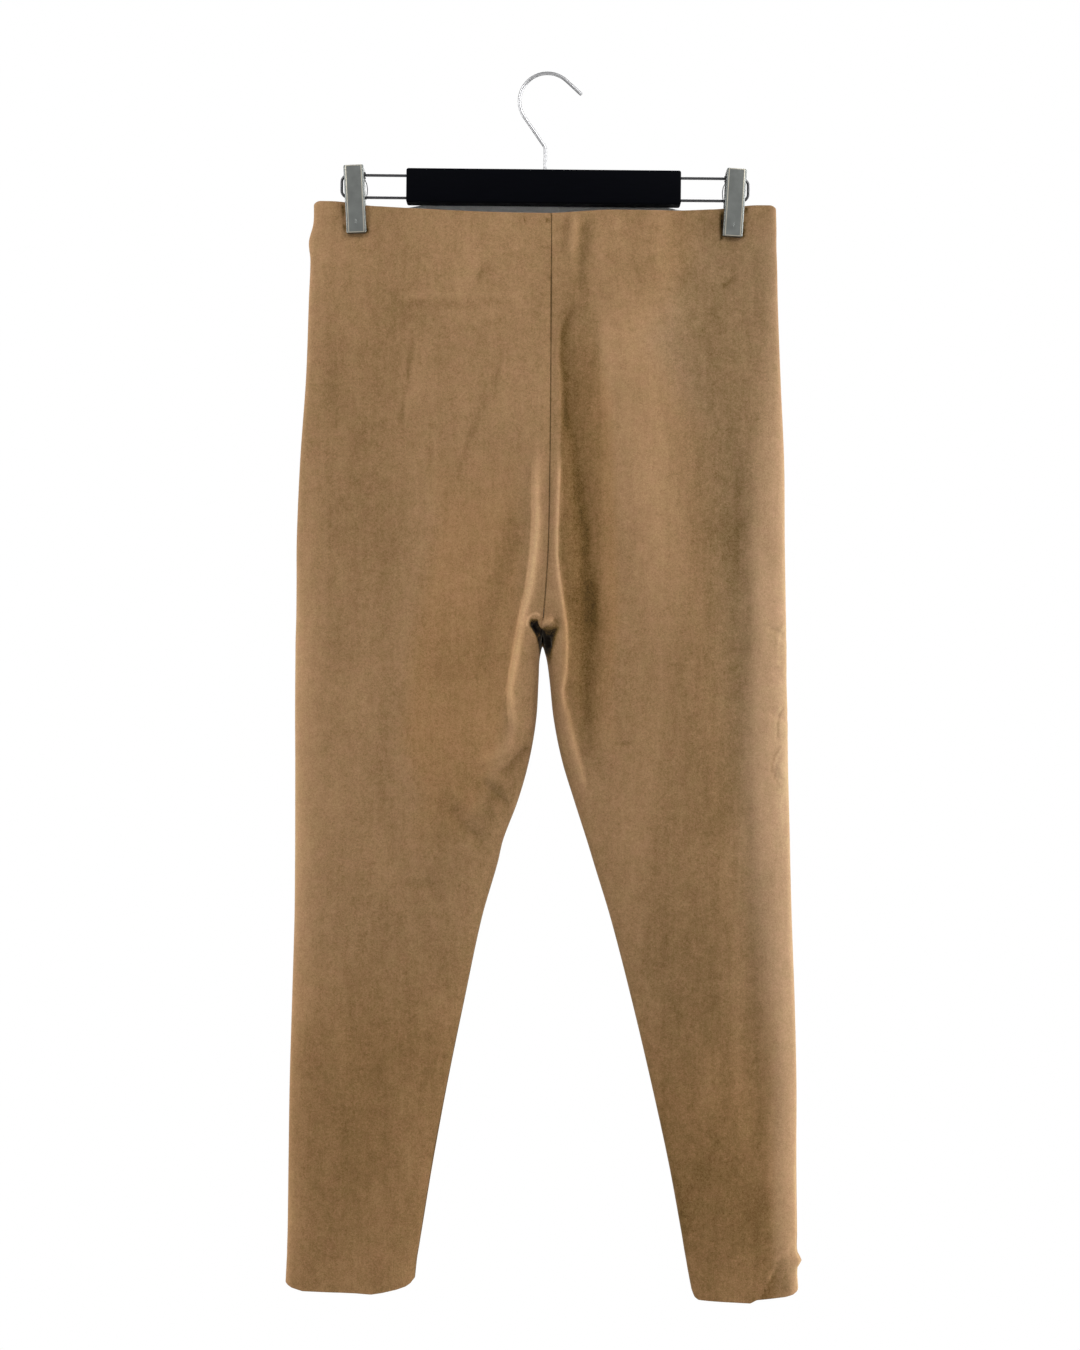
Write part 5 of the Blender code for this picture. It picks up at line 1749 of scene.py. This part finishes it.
def set_up(name: str, data: bpy.types.ID, place: Triple, turn: Quaternion) -> Piece:
    """Put a camera or a lamp into the scene.

    Args:
        name: Its name.
        data: Its data.
        place: Where it stands, in metres.
        turn: How it is turned.

    Returns:
        The object.
    """
    made = bpy.data.objects.new(name, data)
    made.location = place
    made.rotation_mode = "QUATERNION"
    made.rotation_quaternion = turn
    bpy.context.scene.collection.objects.link(made)
    return made


@dataclass(frozen=True)
class AreaLamp:
    """One large soft white light, with its place and aim in metres."""

    name: str
    place: Triple
    aim: Triple
    size: Place
    power: float

    def make(self) -> None:
        """Add the light to the scene."""
        data = bpy.data.lights.new(self.name, "AREA")
        data.shape = "RECTANGLE"
        data.size, data.size_y = self.size
        data.energy = self.power
        towards = Vector(self.aim) - Vector(self.place)
        set_up(self.name, data, self.place, towards.to_track_quat("-Z", "Y"))


@dataclass
class Studio:
    """Camera, white surroundings, soft lights and a pale floor far below the hem."""

    camera_place: Triple = (-0.00026, -1.8, -0.528)
    frame_height: float = 1.188   # of the plane through the garment's middle
    roll: float = math.radians(0.55)
    surround: float = 0.30
    bands: tuple[Place, ...] = ((0.3, 1.5), (0.5, 0.55), (0.75, 0.2), (0.98, 0.1))
    bright: float = 1.7           # what faces the camera reflects this
    floor_z: float = -1900.0
    floor_radius: float = 2000.0
    lamps: tuple[AreaLamp, ...] = (
        AreaLamp("front right", (1.3, -1.5, 1.05), (0, 0, -0.3), (1.0, 1.0), 27.0),
        AreaLamp("front left", (-1.3, -1.5, 1.05), (0, 0, -0.3), (1.0, 1.0), 20.0),
        AreaLamp("side right", (2.2, -0.2, -0.4), (0.2, 0, -0.6), (0.8, 1.8), 40.0),
        AreaLamp("side left", (-2.2, -0.2, -0.3), (-0.2, 0, -0.6), (0.8, 1.8), 22.0),
        AreaLamp("back", (0.6, 2.4, 0.9), (0, 0, -0.5), (1.8, 1.8), 34.0),
    )

    def make_camera(self) -> None:
        """Add the camera at the photograph's distance, height and small roll."""
        data = bpy.data.cameras.new("camera")
        data.sensor_fit = "AUTO"
        data.sensor_width = 36.0
        data.lens = 36.0 * -self.camera_place[1] / self.frame_height
        data.dof.use_dof = False
        upright = Matrix.Rotation(math.pi / 2, 4, "X") @ Matrix.Rotation(self.roll, 4, "Z")
        bpy.context.scene.camera = set_up("camera", data, self.camera_place,
                                          upright.to_quaternion())

    def make_world(self) -> None:
        """Make surroundings that are white to the camera and grey to the object."""
        world = bpy.data.worlds.new("white studio")
        world.use_nodes = True
        world.node_tree.nodes.clear()
        plan = NodePlan(world.node_tree)
        rays = plan.add("LightPath").outputs
        axes = plan.add("SeparateXYZ", Vector=plan.coordinates["Generated"])
        depth = plan.add("MapRange", From_Min=-1.0, Value=axes.outputs["Y"])
        bands = plan.blend(depth.outputs["Result"], shade(WHITE, self.bright), WHITE,
                           tuple((place, shade(WHITE, grey)) for place, grey in self.bands))
        colour = plan.mix("MIX", rays["Is Glossy Ray"], WHITE, bands)
        light = plan.add("Background", Color=colour, Strength=self.surround)
        seen = plan.add("Background", Color=WHITE, Strength=1.0)
        both = plan.add("MixShader", Fac=rays["Is Camera Ray"])
        for target, source in zip(both.inputs[1:], (light, seen)):
            plan.feed(target, source.outputs["Background"])
        plan.add("OutputWorld", Surface=both.outputs["Shader"])
        bpy.context.scene.world = world

    def make_floor(self) -> None:
        """Make the pale floor, which the photograph's view doesn't reach."""
        bm = bmesh.new()
        bmesh.ops.create_circle(bm, cap_ends=True, segments=96, radius=self.floor_radius)
        bmesh.ops.translate(bm, vec=(0, 0, self.floor_z), verts=bm.verts)
        link_mesh(bm, "floor", FloorFinish().make(), sharp=False)

    def make(self) -> None:
        """Make all of the studio."""
        self.make_camera()
        self.make_world()
        self.make_floor()
        for lamp in self.lamps:
            lamp.make()
        view = bpy.context.scene.view_settings
        view.view_transform = "Standard"
        view.look = "None"
        view.exposure = 0.0
        view.gamma = 1.0


def main() -> None:
    """Make the studio, the hanger and the leggings, in order."""
    logging.basicConfig(level=logging.INFO, format="%(name)s: %(message)s")
    Studio().make()
    wardrobe = Wardrobe()
    jaws = Hanger(wardrobe).make()
    Leggings(wardrobe).make(jaws)


if __name__ == "__main__":
    main()
